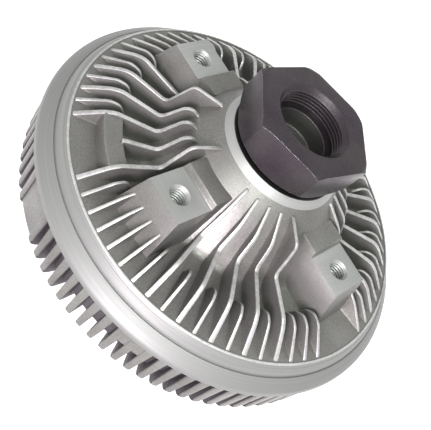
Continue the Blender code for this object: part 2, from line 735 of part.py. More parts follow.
def cover_profile():
    """Section of the cover without its inner hollows, outside first."""
    shoulder = FLANGE_FOOT_LEVEL - CLEARANCE
    points = [(0.0, shoulder)] + lip_inner_points() + lip_outer_points()
    return points + [
        (COVER_SHOULDER_RADIUS, COVER_FACE_LEVEL),
        (0.0, COVER_FACE_LEVEL),
    ]


def chamber_profile():
    """Hollow of the cover: reservoir, plate ledge, lands and seal seat."""
    floor = CHAMBER_FLOOR_LEVEL
    ledge = around(PLATE_RADIUS, CHAMBER_FACETS)
    land = COVER_LAND_RADIUS
    shoulder = FLANGE_FOOT_LEVEL - CLEARANCE
    seal = around(SEAL_RADIUS + SEAL_SIZE / 2.0, CHAMBER_FACETS)
    chamber = CHAMBER_RADIUS
    over = shoulder + CUT_OVERRUN
    return [
        (0.0, over),
        (seal, over),
        (seal, shoulder - SEAL_SIZE - CLEARANCE),
        (chamber, shoulder - SEAL_SIZE - CLEARANCE),
        (chamber, floor),
        (land + LAND_WIDTH, floor),
        (land + LAND_WIDTH, floor + COVER_LAND_HEIGHT),
        (land, floor + COVER_LAND_HEIGHT),
        (land, floor),
        (ledge, floor),
        (ledge, LEDGE_LEVEL),
        (RESERVOIR_RADIUS, LEDGE_LEVEL),
        (RESERVOIR_RADIUS, RESERVOIR_FLOOR_LEVEL),
        (0.0, RESERVOIR_FLOOR_LEVEL),
    ]


def valve_boss_profile():
    """Boss on the reservoir's floor, round the valve shaft."""
    top = RESERVOIR_FLOOR_LEVEL + VALVE_BOSS_HEIGHT
    foot = (RESERVOIR_FLOOR_LEVEL + COVER_FACE_LEVEL) / 2.0
    return [(0.0, top), (VALVE_BOSS_RADIUS, top), (VALVE_BOSS_RADIUS, foot), (0.0, foot)]


def valve_bore_profile():
    """Bore of the valve shaft, with the seat of its seal at the top."""
    bore = around(VALVE_SHAFT_RADIUS, SMALL_FACETS)
    seat = around(bore + VALVE_SEAL_SIZE - CLEARANCE, SMALL_FACETS)
    top = RESERVOIR_FLOOR_LEVEL + VALVE_BOSS_HEIGHT
    seal_foot = top - VALVE_SEAL_SIZE - CLEARANCE
    return [
        (0.0, top + CUT_OVERRUN),
        (seat, top + CUT_OVERRUN),
        (seat, seal_foot),
        (bore, seal_foot),
        (bore, COVER_FACE_LEVEL - CUT_OVERRUN),
        (0.0, COVER_FACE_LEVEL - CUT_OVERRUN),
    ]


def wall_level(radius):
    """Level of the cover's conical wall between the fins."""
    share = (RIM_RADIUS - radius) / COVER_CONE_WIDTH
    return share * COVER_FACE_LEVEL


def front_fin_outline(inset=0.0):
    """Side view of a front fin, rooted in the rim and the cover's wall."""
    top = FRONT_FIN_TOP_RADIUS - inset
    low = FRONT_FIN_LOW_RADIUS - inset
    root = FIN_ROOT_SINK
    return [
        (top - root, wall_level(top - root) + FRONT_FIN_CREST_LAP * root),
        (top, wall_level(top) + root),
        (low, FRONT_FIN_LOW_LEVEL),
        (low - FRONT_FIN_CORNER, FRONT_FIN_LOW_LEVEL - FRONT_FIN_CORNER),
        (FRONT_FIN_FLAT_RADIUS, REST_LEVEL),
        (FRONT_FIN_INNER_RADIUS, REST_LEVEL),
        (FRONT_FIN_INNER_RADIUS, COVER_FACE_LEVEL + root),
        (COVER_SHOULDER_RADIUS - root / 2.0, COVER_FACE_LEVEL + root),
    ]


def web_outline():
    """Side view of the low web between two front fins."""
    top = FRONT_FIN_TOP_RADIUS - WEB_INSET
    root = FIN_ROOT_SINK
    wall = RIM_RADIUS + WEB_DEPTH / COVER_FACE_LEVEL * COVER_CONE_WIDTH
    return [
        (top - root, wall_level(top - root) + FRONT_FIN_CREST_LAP * root),
        (top, wall_level(top) + root),
        (top - WEB_DRAFT_RUN, FRONT_FIN_CORNER - WEB_DEPTH),
        (top - FRONT_FIN_CORNER, -WEB_DEPTH),
        (wall - root, -WEB_DEPTH),
    ]


def in_segment(angle):
    """Whether a front fin's place is filled by the plain segment."""
    turns = (angle - SEGMENT_START) % (2.0 * math.pi)
    return turns < SEGMENT_END - SEGMENT_START


def build_front_fins():
    pitch = 2.0 * math.pi / FRONT_FIN_COUNT
    low = FRONT_FIN_LOW_LEVEL - FLOOR_LEVEL
    width = drafted_width(low, FRONT_FIN_HALF_WIDTH, -FRONT_FIN_DRAFT)
    bm = bmesh.new()
    for index in range(FRONT_FIN_COUNT):
        if not in_segment(index * pitch):
            add_plate_shape(bm, front_fin_outline(), width, index * pitch)
    return add_cutter("front_fins", finish_mesh("front_fins", bm), BODY)


def build_front_segments():
    bm = bmesh.new()
    outline = front_fin_outline(SEGMENT_INSET)
    add_sector_shape(bm, outline, SEGMENT_START, SEGMENT_END, SEGMENT_STEPS)
    return add_cutter("front_segment", finish_mesh("front_segment", bm), BODY)


def build_front_web():
    bm = bmesh.new()
    add_sector_shape(bm, web_outline(), WEB_START, WEB_END, WEB_STEPS)
    return add_cutter("front_web", finish_mesh("front_web", bm), BODY)


def plate_screw_places():
    return [
        polar(PLATE_SCREW_CIRCLE, 2.0 * math.pi * (index + 0.5) / PLATE_SCREW_COUNT)
        for index in range(PLATE_SCREW_COUNT)
    ]


def build_cover_holes():
    """Screw holes in the cover for the divider plate and the coil's post."""
    bm = bmesh.new()
    radius = around(PLATE_SCREW_RADIUS, SMALL_FACETS)
    foot = PLATE_TOP_LEVEL - PLATE_SCREW_LENGTH - CLEARANCE
    for place in plate_screw_places():
        add_rod_shape(
            bm, radius, LEDGE_LEVEL + CUT_OVERRUN, foot, SMALL_FACETS, Matrix.Translation(place)
        )
    top = post_foot_level() + POST_SCREW_LENGTH
    add_rod_shape(
        bm,
        around(POST_SCREW_RADIUS, SMALL_FACETS),
        top + CLEARANCE,
        COVER_FACE_LEVEL - CUT_OVERRUN,
        SMALL_FACETS,
        Matrix.Translation(post_screw_place()),
    )
    return add_cutter("cover_holes", finish_mesh("cover_holes", bm), BODY)


def build_front_cover():
    cover = turned_piece(
        "front_cover", cover_profile(), BODY, CAST_ALUMINIUM, COVER_FACETS, closed=False
    )
    chamber = turned_cutter("chamber", chamber_profile(), BODY, CHAMBER_FACETS, closed=False)
    boss = turned_cutter("valve_boss", valve_boss_profile(), BODY, SMALL_FACETS, closed=False)
    bore = turned_cutter("valve_bore", valve_bore_profile(), BODY, SMALL_FACETS, closed=False)
    combine(cover, chamber, "DIFFERENCE")
    combine(cover, boss, "UNION")
    combine(cover, bore, "DIFFERENCE")
    combine(cover, build_front_fins(), "UNION")
    combine(cover, build_front_segments(), "UNION")
    combine(cover, build_front_web(), "UNION")
    combine(cover, build_cover_holes(), "DIFFERENCE")
    return cover


# Pieces carried by the castings.


def build_rim_seal():
    top = FLANGE_FOOT_LEVEL - CLEARANCE
    inner = SEAL_RADIUS - SEAL_SIZE / 2.0
    outer = SEAL_RADIUS + SEAL_SIZE / 2.0
    points = [
        (inner, top),
        (outer, top),
        (outer, top - SEAL_SIZE),
        (inner, top - SEAL_SIZE),
    ]
    return turned_piece("rim_seal", points, BODY, SEAL_RUBBER, CHAMBER_FACETS)


def build_divider_plate():
    """Steel disc with the fluid port and its screw holes."""
    bm = bmesh.new()
    add_rod_shape(
        bm, PLATE_RADIUS, PLATE_TOP_LEVEL, PLATE_FOOT_LEVEL, CHAMBER_FACETS, Matrix()
    )
    plate = add_piece("divider_plate", finish_mesh("divider_plate", bm), BODY, SHEET_STEEL)
    holes = bmesh.new()
    top = PLATE_TOP_LEVEL + CUT_OVERRUN
    foot = PLATE_FOOT_LEVEL - CUT_OVERRUN
    radius = around(PLATE_SCREW_RADIUS, SMALL_FACETS)
    for place in plate_screw_places():
        add_rod_shape(holes, radius, top, foot, SMALL_FACETS, Matrix.Translation(place))
    port = polar(PORT_CIRCLE_RADIUS, VALVE_ARM_REST_ANGLE)
    add_rod_shape(holes, PORT_RADIUS, top, foot, SMALL_FACETS, Matrix.Translation(port))
    cutter = add_cutter("plate_holes", finish_mesh("plate_holes", holes), BODY)
    return combine(plate, cutter, "DIFFERENCE")


def screw_points(shank, head, head_height, seat, length, direction):
    """Half section of a screw whose head rests at the level seat."""
    top = seat + direction * head_height
    foot = seat - direction * length
    points = [(0.0, top), (head, top), (head, seat), (shank, seat), (shank, foot), (0.0, foot)]
    return points if direction > 0 else points[::-1]


def build_plate_screws():
    points = screw_points(
        PLATE_SCREW_RADIUS,
        PLATE_SCREW_HEAD_RADIUS,
        PLATE_SCREW_HEAD_HEIGHT,
        PLATE_TOP_LEVEL + CLEARANCE,
        PLATE_SCREW_LENGTH,
        1,
    )
    for number, place in enumerate(plate_screw_places(), 1):
        name = f"plate_screw_{number}"
        screw = turned_piece(
            name, points, BODY, SHEET_STEEL, SMALL_FACETS, closed=False
        )
        screw.location = place


def build_wiper():
    outer = CHAMBER_RADIUS * math.cos(math.pi / CHAMBER_FACETS) - CLEARANCE
    inner = outer - WIPER_THICKNESS
    top = CHAMBER_ROOF_LEVEL - CLEARANCE
    foot = CHAMBER_FLOOR_LEVEL + CLEARANCE
    outline = [(inner, foot), (outer, foot), (outer, top), (inner, top)]
    bm = bmesh.new()
    start = WIPER_CENTRE_ANGLE - WIPER_HALF_ANGLE
    end = WIPER_CENTRE_ANGLE + WIPER_HALF_ANGLE
    add_sector_shape(bm, outline, start, end, WIPER_STEPS)
    return add_piece("wiper", finish_mesh("wiper", bm), BODY, CAGE_POLYMER)


# Bearing.


def race_groove(side):
    """Points of a race's groove, from foot to top; side +1 outer, -1 inner."""
    edge = OUTER_RACE_INNER_RADIUS if side > 0 else INNER_RACE_OUTER_RADIUS
    radius = BALL_RADIUS + CLEARANCE
    if side > 0:
        reach = around(BALL_CIRCLE_RADIUS + BALL_RADIUS, BEARING_FACETS)
        radius = reach - BALL_CIRCLE_RADIUS
    reach = math.acos(abs(edge - BALL_CIRCLE_RADIUS) / radius)
    points = []
    for step in range(4):
        angle = -reach + 2.0 * reach * step / 3
        r = BALL_CIRCLE_RADIUS + side * radius * math.cos(angle)
        points.append((r, BALL_LEVEL + radius * math.sin(angle)))
    return points


def build_outer_race():
    top = BEARING_TOP_LEVEL
    foot = BEARING_FOOT_LEVEL
    points = [(OUTER_RACE_INNER_RADIUS, top), (BEARING_RADIUS, top), (BEARING_RADIUS, foot)]
    points += [(OUTER_RACE_INNER_RADIUS, foot)] + race_groove(1)
    return turned_piece("bearing_outer_ring", points, BODY, RACE_STEEL, BEARING_FACETS)


def build_inner_race():
    top = BEARING_TOP_LEVEL
    foot = BEARING_FOOT_LEVEL
    points = [(BEARING_BORE_RADIUS, top), (INNER_RACE_OUTER_RADIUS, top)]
    points += race_groove(-1)[::-1]
    points += [(INNER_RACE_OUTER_RADIUS, foot), (BEARING_BORE_RADIUS, foot)]
    return turned_piece(
        "bearing_inner_ring", points, SHAFT_AXIS, RACE_STEEL, BEARING_FACETS
    )


def ring_points(inner, outer, top, foot):
    return [(inner, top), (outer, top), (outer, foot), (inner, foot)]


def build_shield():
    """Sheet ring over the balls, held in the mouth of the outer ring."""
    outer = OUTER_RACE_INNER_RADIUS * math.cos(math.pi / BEARING_FACETS) - CLEARANCE
    inner = INNER_RACE_OUTER_RADIUS + 2.0 * CLEARANCE
    top = BEARING_TOP_LEVEL - CLEARANCE
    points = ring_points(inner, outer, top, top - SHIELD_THICKNESS)
    return turned_piece("bearing_shield", points, BODY, SHEET_STEEL, BEARING_FACETS)


def build_circlip():
    top = BEARING_FOOT_LEVEL - CLEARANCE
    foot = top - CIRCLIP_THICKNESS
    outer = BEARING_RADIUS + CIRCLIP_REACH
    points = ring_points(CIRCLIP_INNER_RADIUS, outer, top, foot)
    return turned_piece("bearing_circlip", points, BODY, SHEET_STEEL, BEARING_FACETS)


def build_cage():
    """Crown cage: a ring with a pocket cut out for each ball."""
    inner = BALL_CIRCLE_RADIUS - CAGE_HALF_WIDTH
    outer = BALL_CIRCLE_RADIUS + CAGE_HALF_WIDTH
    points = ring_points(inner, outer, BALL_LEVEL + CAGE_RISE, BALL_LEVEL - CAGE_FOOT_DROP)
    facets = 2 * BALL_COUNT
    cage = turned_piece(
        "bearing_cage", points, CAGE_AXIS, CAGE_POLYMER, facets, phase=math.pi / facets
    )
    bm = bmesh.new()
    for index in range(BALL_COUNT):
        turned = Matrix.Rotation(2.0 * math.pi * index / BALL_COUNT, 4, "Z")
        lying = Matrix.Translation((0.0, 0.0, BALL_LEVEL)) @ Matrix.Rotation(math.pi / 2, 4, "Y")
        add_rod_shape(
            bm,
            CAGE_POCKET_RADIUS,
            BALL_CIRCLE_RADIUS + 2.0 * CAGE_HALF_WIDTH,
            BALL_CIRCLE_RADIUS - 2.0 * CAGE_HALF_WIDTH,
            SMALL_FACETS,
            turned @ lying,
        )
    cutter = add_cutter("cage_pockets", finish_mesh("cage_pockets", bm), CAGE_AXIS)
    return combine(cage, cutter, "DIFFERENCE")


def build_balls():
    bm = bmesh.new()
    bmesh.ops.create_uvsphere(bm, u_segments=8, v_segments=4, radius=BALL_RADIUS)
    mesh = finish_mesh("ball", bm)
    for index in range(BALL_COUNT):
        angle = 2.0 * math.pi * index / BALL_COUNT
        ball = add_piece(f"ball_{index + 1}", mesh.copy(), CAGE_AXIS, RACE_STEEL)
        ball.location = polar(BALL_CIRCLE_RADIUS, angle, BALL_LEVEL)
        smooth(ball, 60.0 * DEG)


# Input shaft and rotor.


def shaft_radius():
    """Radius of the shaft inside the faceted bore of the inner ring."""
    return BEARING_BORE_RADIUS * math.cos(math.pi / BEARING_FACETS) - CLEARANCE


def shaft_profile():
    shoulder_foot = BEARING_TOP_LEVEL + CLEARANCE
    shoulder_top = shoulder_foot + SHAFT_SHOULDER_HEIGHT
    radius = shaft_radius()
    inside_nut = NUT_BACK_LEVEL + SHAFT_JOIN_DEPTH
    return [
        (0.0, inside_nut),
        (SHAFT_NECK_RADIUS, inside_nut),
        (SHAFT_NECK_RADIUS, shoulder_top),
        (SHAFT_SHOULDER_RADIUS, shoulder_foot),
        (radius, shoulder_foot),
        (radius, SHAFT_END_LEVEL + SHAFT_END_CHAMFER),
        (radius - SHAFT_END_CHAMFER, SHAFT_END_LEVEL),
        (0.0, SHAFT_END_LEVEL),
    ]


def nut_envelope_profile():
    """Turned form whose cones chamfer the hexagon's corners, front and back."""
    over = NUT_CORNER_RADIUS + CUT_OVERRUN
    front_drop = (over - NUT_FRONT_CHAMFER_RADIUS) * math.tan(NUT_FRONT_CHAMFER_ANGLE)
    back_rise = over - NUT_BACK_CHAMFER_RADIUS
    return [
        (0.0, NUT_FACE_LEVEL),
        (NUT_FRONT_CHAMFER_RADIUS, NUT_FACE_LEVEL),
        (over, NUT_FACE_LEVEL - front_drop),
        (over, NUT_BACK_LEVEL + back_rise),
        (NUT_BACK_CHAMFER_RADIUS, NUT_BACK_LEVEL),
        (0.0, NUT_BACK_LEVEL),
    ]


def socket_profile():
    """Threaded socket at its core radius, with the smooth bore below."""
    chamfer = SOCKET_CHAMFER_RADIUS - SOCKET_RADIUS
    ledge = NUT_FACE_LEVEL - SOCKET_DEPTH
    foot = NUT_FACE_LEVEL - SOCKET_BORE_DEPTH
    return [
        (0.0, NUT_FACE_LEVEL + chamfer),
        (SOCKET_CHAMFER_RADIUS + chamfer, NUT_FACE_LEVEL + chamfer),
        (SOCKET_RADIUS, NUT_FACE_LEVEL - chamfer),
        (SOCKET_RADIUS, ledge),
        (SOCKET_BORE_RADIUS, ledge),
        (SOCKET_BORE_RADIUS, foot),
        (0.0, foot),
    ]


def build_shaft_nut():
    bm = bmesh.new()
    turned = Matrix.Rotation(NUT_TURN - BAR_CORNER_ANGLE, 4, "Z")
    add_rod_shape(
        bm, NUT_CORNER_RADIUS, NUT_FACE_LEVEL + CUT_OVERRUN, NUT_BACK_LEVEL - CUT_OVERRUN, 6, turned
    )
    nut = add_piece("shaft_nut", finish_mesh("shaft_nut", bm), SHAFT_AXIS, MACHINED_STEEL)
    envelope = turned_cutter(
        "nut_envelope", nut_envelope_profile(), SHAFT_AXIS, BEARING_FACETS, closed=False
    )
    shaft = turned_cutter(
        "shaft_core", shaft_profile(), SHAFT_AXIS, BEARING_FACETS, closed=False
    )
    socket = turned_cutter(
        "nut_socket", socket_profile(), SHAFT_AXIS, BEARING_FACETS, closed=False
    )
    combine(nut, envelope, "INTERSECT")
    combine(nut, shaft, "UNION")
    combine(nut, socket, "DIFFERENCE")
    return nut


def build_rotor():
    """Disc with rings of lands below, on a sleeve against the inner ring."""
    bore = BEARING_BORE_RADIUS
    web = ROTOR_TOP_LEVEL - ROTOR_THICKNESS
    points = [
        (bore, BEARING_FOOT_LEVEL - CLEARANCE),
        (ROTOR_SLEEVE_RADIUS, BEARING_FOOT_LEVEL - CLEARANCE),
        (ROTOR_SLEEVE_RADIUS, ROTOR_TOP_LEVEL),
        (ROTOR_RADIUS, ROTOR_TOP_LEVEL),
        (ROTOR_RADIUS, web),
    ]
    for radius in reversed(ROTOR_LAND_RADII):
        points += [
            (radius + LAND_WIDTH, web),
            (radius + LAND_WIDTH, web - ROTOR_LAND_DEPTH),
            (radius, web - ROTOR_LAND_DEPTH),
            (radius, web),
        ]
    points += [
        (ROTOR_SLEEVE_RADIUS, web),
        (ROTOR_SLEEVE_RADIUS, ROTOR_FOOT_LEVEL),
        (bore, ROTOR_FOOT_LEVEL),
    ]
    return turned_piece("rotor", points, SHAFT_AXIS, PRESSED_ALUMINIUM, ROTOR_FACETS)


# Valve and coil.


def arm_level():
    return PLATE_FOOT_LEVEL - CLEARANCE


def build_valve_shaft():
    top = arm_level() - VALVE_ARM_THICKNESS - CLEARANCE
    points = [
        (0.0, top),
        (VALVE_SHAFT_RADIUS, top),
        (VALVE_SHAFT_RADIUS, VALVE_SHAFT_END_LEVEL + VALVE_END_CHAMFER),
        (VALVE_SHAFT_RADIUS - VALVE_END_CHAMFER, VALVE_SHAFT_END_LEVEL),
        (0.0, VALVE_SHAFT_END_LEVEL),
    ]
    return turned_piece(
        "valve_shaft", points, VALVE_AXIS, SHEET_STEEL, SMALL_FACETS, closed=False
    )


def build_valve_arm():
    """Sheet arm from the valve shaft out to its pad under the port."""
    curve = bpy.data.curves.new("valve_arm", "CURVE")
    curve.dimensions = "2D"
    curve.fill_mode = "BOTH"
    curve.extrude = VALVE_ARM_THICKNESS / 2.0
    spline = curve.splines.new("POLY")
    reach = PORT_CIRCLE_RADIUS
    wide = VALVE_ARM_HALF_WIDTH
    outline = []
    steps = VALVE_ARM_ROUND_STEPS
    for step in range(steps + 1):
        angle = math.pi / 2 - math.pi * step / steps
        outline.append((reach + wide * math.cos(angle), wide * math.sin(angle)))
    hub = VALVE_ARM_HUB_RADIUS
    for step in range(steps + 1):
        angle = -math.pi / 2 - math.pi * step / steps
        outline.append((hub * math.cos(angle), hub * math.sin(angle)))
    spline.points.add(len(outline) - 1)
    for point, (x, y) in zip(spline.points, outline):
        point.co = (x, y, 0.0, 1.0)
    spline.use_cyclic_u = True
    source = bpy.data.objects.new("valve_arm_outline", curve)
    MODEL.objects.link(source)
    mesh = solid_from_curve(source)
    arm = add_piece("valve_arm", mesh, VALVE_AXIS, SHEET_STEEL)
    arm.location.z = arm_level() - VALVE_ARM_THICKNESS / 2.0
    arm.rotation_euler.z = VALVE_ARM_REST_ANGLE
    return arm


def solid_from_curve(source):
    """Closed mesh of a filled curve, whose curve object is then removed."""
    graph = bpy.context.evaluated_depsgraph_get()
    mesh = bpy.data.meshes.new_from_object(source.evaluated_get(graph))
    bm = bmesh.new()
    bm.from_mesh(mesh)
    bmesh.ops.remove_doubles(bm, verts=bm.verts, dist=MERGE_DISTANCE / 10.0)
    bmesh.ops.recalc_face_normals(bm, faces=bm.faces)
    bm.to_mesh(mesh)
    bm.free()
    bpy.data.objects.remove(source, do_unlink=True)
    return mesh


def build_valve_seal():
    inner = around(VALVE_SHAFT_RADIUS, SMALL_FACETS)
    outer = inner + VALVE_SEAL_SIZE - CLEARANCE
    top = RESERVOIR_FLOOR_LEVEL + VALVE_BOSS_HEIGHT
    points = ring_points(inner, outer, top, top - VALVE_SEAL_SIZE)
    return turned_piece("valve_seal", points, BODY, SEAL_RUBBER, SMALL_FACETS)


def coil_point(step, steps):
    """Point of the coil's middle line; the post holds its last straight run."""
    share = step / steps
    radius = COIL_INNER_RADIUS + share * (COIL_OUTER_RADIUS - COIL_INNER_RADIUS)
    tail = COIL_TURNS * math.pi / steps
    angle = COIL_END_ANGLE + tail - (1.0 - share) * COIL_TURNS * 2.0 * math.pi
    return polar(radius, angle)


def coil_step_count():
    return round(COIL_TURNS * COIL_STEPS_PER_TURN)


def post_radius():
    """Distance of the coil's last run from the axis, at the post."""
    steps = coil_step_count()
    ends = coil_point(steps - 1, steps) + coil_point(steps, steps)
    return ends.length / 2.0


def build_coil():
    """Flat strip wound into a spiral, on edge under the cover."""
    steps = coil_step_count()
    top = COVER_FACE_LEVEL - COIL_DROP
    bm = bmesh.new()
    verts = []
    for step in range(steps + 1):
        place = coil_point(step, steps)
        verts.append(bm.verts.new((place.x, place.y, top)))
    edges = [bm.edges.new(pair) for pair in zip(verts, verts[1:])]
    grown = bmesh.ops.extrude_edge_only(bm, edges=edges)["geom"]
    lowered = [item for item in grown if isinstance(item, bmesh.types.BMVert)]
    bmesh.ops.translate(bm, verts=lowered, vec=(0.0, 0.0, -COIL_WIDTH))
    coil = add_piece("bimetal_coil", finish_mesh("bimetal_coil", bm), BODY, SPRING_BIMETAL)
    solid = coil.modifiers.new("strip", "SOLIDIFY")
    solid.thickness = COIL_THICKNESS
    solid.offset = 0.0
    solid.use_even_offset = True
    return coil


def post_foot_level():
    """Level of the face that the post's screw head bears on."""
    return COVER_FACE_LEVEL - CLEARANCE - POST_FOOT_THICKNESS - CLEARANCE


def post_screw_place():
    inner, outer = post_radii()
    return polar(outer + POST_FOOT_LENGTH / 2.0, COIL_END_ANGLE)


def post_radii():
    half_slot = COIL_THICKNESS / 2.0 + POST_SLOT_PLAY
    middle = post_radius()
    return (middle - half_slot - POST_WALL, middle + half_slot + POST_WALL)


def post_outline():
    """Section of the forked post and its foot, in the radial plane."""
    inner, outer = post_radii()
    top = COVER_FACE_LEVEL - CLEARANCE
    web = top - (COIL_DROP - 2.0 * CLEARANCE)
    foot = COVER_FACE_LEVEL - COIL_DROP - COIL_WIDTH
    return [
        (inner, foot),
        (inner + POST_WALL, foot),
        (inner + POST_WALL, web),
        (outer - POST_WALL, web),
        (outer - POST_WALL, foot),
        (outer, foot),
        (outer, top - POST_FOOT_THICKNESS),
        (outer + POST_FOOT_LENGTH, top - POST_FOOT_THICKNESS),
        (outer + POST_FOOT_LENGTH, top),
        (inner, top),
    ]


def post_half_length(level):
    return POST_HALF_LENGTH


def build_coil_post():
    bm = bmesh.new()
    add_plate_shape(bm, post_outline(), post_half_length, COIL_END_ANGLE)
    post = add_piece("coil_bracket", finish_mesh("coil_bracket", bm), BODY, SHEET_STEEL)
    holes = bmesh.new()
    top = COVER_FACE_LEVEL + CUT_OVERRUN
    foot = post_foot_level() - CUT_OVERRUN
    place = Matrix.Translation(post_screw_place())
    add_rod_shape(holes, around(POST_SCREW_RADIUS, SMALL_FACETS), top, foot, SMALL_FACETS, place)
    cutter = add_cutter("bracket_hole", finish_mesh("bracket_hole", holes), BODY)
    return combine(post, cutter, "DIFFERENCE")


def build_post_screw():
    points = screw_points(
        POST_SCREW_RADIUS,
        POST_SCREW_HEAD_RADIUS,
        POST_SCREW_HEAD_HEIGHT,
        post_foot_level(),
        POST_SCREW_LENGTH,
        -1,
    )
    screw = turned_piece(
        "bracket_screw", points, BODY, SHEET_STEEL, SMALL_FACETS, closed=False
    )
    screw.location = post_screw_place()
    return screw


def build_clutch():
    build_rear_housing()
    build_front_cover()
    build_rim_seal()
    build_divider_plate()
    build_plate_screws()
    build_wiper()
    build_outer_race()
    build_shield()
    build_circlip()
    build_cage()
    build_balls()
    build_inner_race()
    build_shaft_nut()
    build_rotor()
    build_valve_shaft()
    build_valve_arm()
    build_valve_seal()
    build_coil()
    build_coil_post()
    build_post_screw()


build_clutch()
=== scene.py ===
import json
import math

import bmesh
import bpy
from mathutils import Matrix, Quaternion, Vector


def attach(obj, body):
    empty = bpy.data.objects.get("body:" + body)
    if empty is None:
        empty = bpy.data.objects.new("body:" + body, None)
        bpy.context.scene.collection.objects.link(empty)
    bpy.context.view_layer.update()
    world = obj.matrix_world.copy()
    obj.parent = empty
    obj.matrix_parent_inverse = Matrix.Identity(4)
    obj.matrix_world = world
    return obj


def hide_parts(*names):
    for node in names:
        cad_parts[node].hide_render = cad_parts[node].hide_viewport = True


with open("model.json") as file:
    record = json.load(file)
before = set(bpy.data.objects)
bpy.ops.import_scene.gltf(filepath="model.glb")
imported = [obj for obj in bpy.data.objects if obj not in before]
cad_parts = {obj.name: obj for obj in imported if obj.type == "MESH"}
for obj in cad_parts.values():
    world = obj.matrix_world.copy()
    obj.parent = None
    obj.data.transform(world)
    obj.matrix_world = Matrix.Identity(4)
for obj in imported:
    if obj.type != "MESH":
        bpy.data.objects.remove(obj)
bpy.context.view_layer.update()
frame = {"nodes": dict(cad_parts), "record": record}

# The clutch is photographed from close by, over the fan side and past the hexagon,
# with the camera turned well over. It stands on its front fins on a white table.
MM = 0.001
DEG = math.pi / 180.0
SPLIT_LEVEL = 27.5 * MM

camera_data = bpy.data.cameras.new("photo_camera")
camera_data.sensor_width = 36.0
camera_data.lens = 62.64
camera = bpy.data.objects.new("photo_camera", camera_data)
bpy.context.scene.collection.objects.link(camera)
bpy.context.scene.camera = camera
camera.location = (222.26 * MM, 51.76 * MM, 239.63 * MM)
aim = Vector((13.49 * MM, 5.42 * MM, SPLIT_LEVEL))
upright = (aim - camera.location).to_track_quat("-Z", "Y")
camera.rotation_mode = "QUATERNION"
camera.rotation_quaternion = upright @ Quaternion((0.0, 0.0, 1.0), 49.32 * DEG)

bpy.context.scene.view_settings.view_transform = "Standard"


def add_node(tree, kind, values=None, **settings):
    """Shader node with its settings and the plain values of its sockets."""
    node = tree.nodes.new(kind)
    for name, value in settings.items():
        setattr(node, name, value)
    for socket, value in (values or {}).items():
        node.inputs[socket].default_value = value
    return node


def white_to_the_eye(tree, lit, eye, output, slot):
    """Show one shader to what looks at the backdrop, and light with the other."""
    path = add_node(tree, "ShaderNodeLightPath")
    either = add_node(tree, "ShaderNodeMath", operation="MAXIMUM")
    tree.links.new(path.outputs["Is Camera Ray"], either.inputs[0])
    tree.links.new(path.outputs["Is Glossy Ray"], either.inputs[1])
    mix = add_node(tree, "ShaderNodeMixShader")
    tree.links.new(either.outputs[0], mix.inputs[0])
    tree.links.new(lit.outputs[0], mix.inputs[1])
    tree.links.new(eye.outputs[0], mix.inputs[2])
    tree.links.new(mix.outputs[0], output.inputs[slot])


world = bpy.data.worlds.new("studio")
world.use_nodes = True
world.node_tree.nodes.clear()
bpy.context.scene.world = world
soft_light = add_node(
    world.node_tree, "ShaderNodeBackground", {"Color": (0.93, 0.97, 0.98, 1.0), "Strength": 0.25}
)
white_back = add_node(
    world.node_tree, "ShaderNodeBackground", {"Color": (1.0, 1.0, 1.0, 1.0), "Strength": 1.0}
)
world_output = add_node(world.node_tree, "ShaderNodeOutputWorld")
white_to_the_eye(world.node_tree, soft_light, white_back, world_output, "Surface")

table = bmesh.new()
bmesh.ops.create_circle(table, cap_ends=True, segments=96, radius=1.6)
table_mesh = bpy.data.meshes.new("table")
table.to_mesh(table_mesh)
table.free()
table_top = bpy.data.objects.new("table", table_mesh)
bpy.context.scene.collection.objects.link(table_top)
table_paint = bpy.data.materials.new("white_table")
table_paint.use_nodes = True
table_tree = table_paint.node_tree
table_tree.nodes.clear()
matt_white = add_node(
    table_tree, "ShaderNodeBsdfDiffuse", {"Color": (0.90, 0.90, 0.90, 1.0), "Roughness": 1.0}
)
white_glow = add_node(
    table_tree, "ShaderNodeEmission", {"Color": (1.0, 1.0, 1.0, 1.0), "Strength": 0.55}
)
glow_and_paint = add_node(table_tree, "ShaderNodeAddShader")
table_tree.links.new(matt_white.outputs[0], glow_and_paint.inputs[0])
table_tree.links.new(white_glow.outputs[0], glow_and_paint.inputs[1])
table_output = add_node(table_tree, "ShaderNodeOutputMaterial")
underside = add_node(table_tree, "ShaderNodeNewGeometry")
glass = add_node(table_tree, "ShaderNodeBsdfTransparent")
one_way = add_node(table_tree, "ShaderNodeMixShader")
table_tree.links.new(underside.outputs["Backfacing"], one_way.inputs[0])
table_tree.links.new(glow_and_paint.outputs[0], one_way.inputs[1])
table_tree.links.new(glass.outputs[0], one_way.inputs[2])
white_to_the_eye(table_tree, matt_white, one_way, table_output, "Surface")
table_mesh.materials.append(table_paint)


def add_lamp(name, place, power, size, colour=(1.0, 1.0, 1.0)):
    """Square soft box at a place, turned towards the clutch."""
    lamp_data = bpy.data.lights.new(name, "AREA")
    lamp_data.energy = power
    lamp_data.size = size
    lamp_data.color = colour
    lamp = bpy.data.objects.new(name, lamp_data)
    bpy.context.scene.collection.objects.link(lamp)
    lamp.location = place
    lamp.rotation_mode = "QUATERNION"
    lamp.rotation_quaternion = (Vector((0.0, 0.0, SPLIT_LEVEL)) - lamp.location).to_track_quat(
        "-Z", "Y"
    )
    return lamp


add_lamp("window_lamp", (0.60, 0.24, 0.28), 7.0, 0.25, (1.0, 0.90, 0.99))
add_lamp("overhead_lamp", (0.25, 0.30, 0.80), 3.0, 0.35, (0.93, 1.0, 0.94))
add_lamp("near_lamp", (0.45, 0.12, 0.60), 1.5, 0.45, (0.95, 1.0, 0.95))
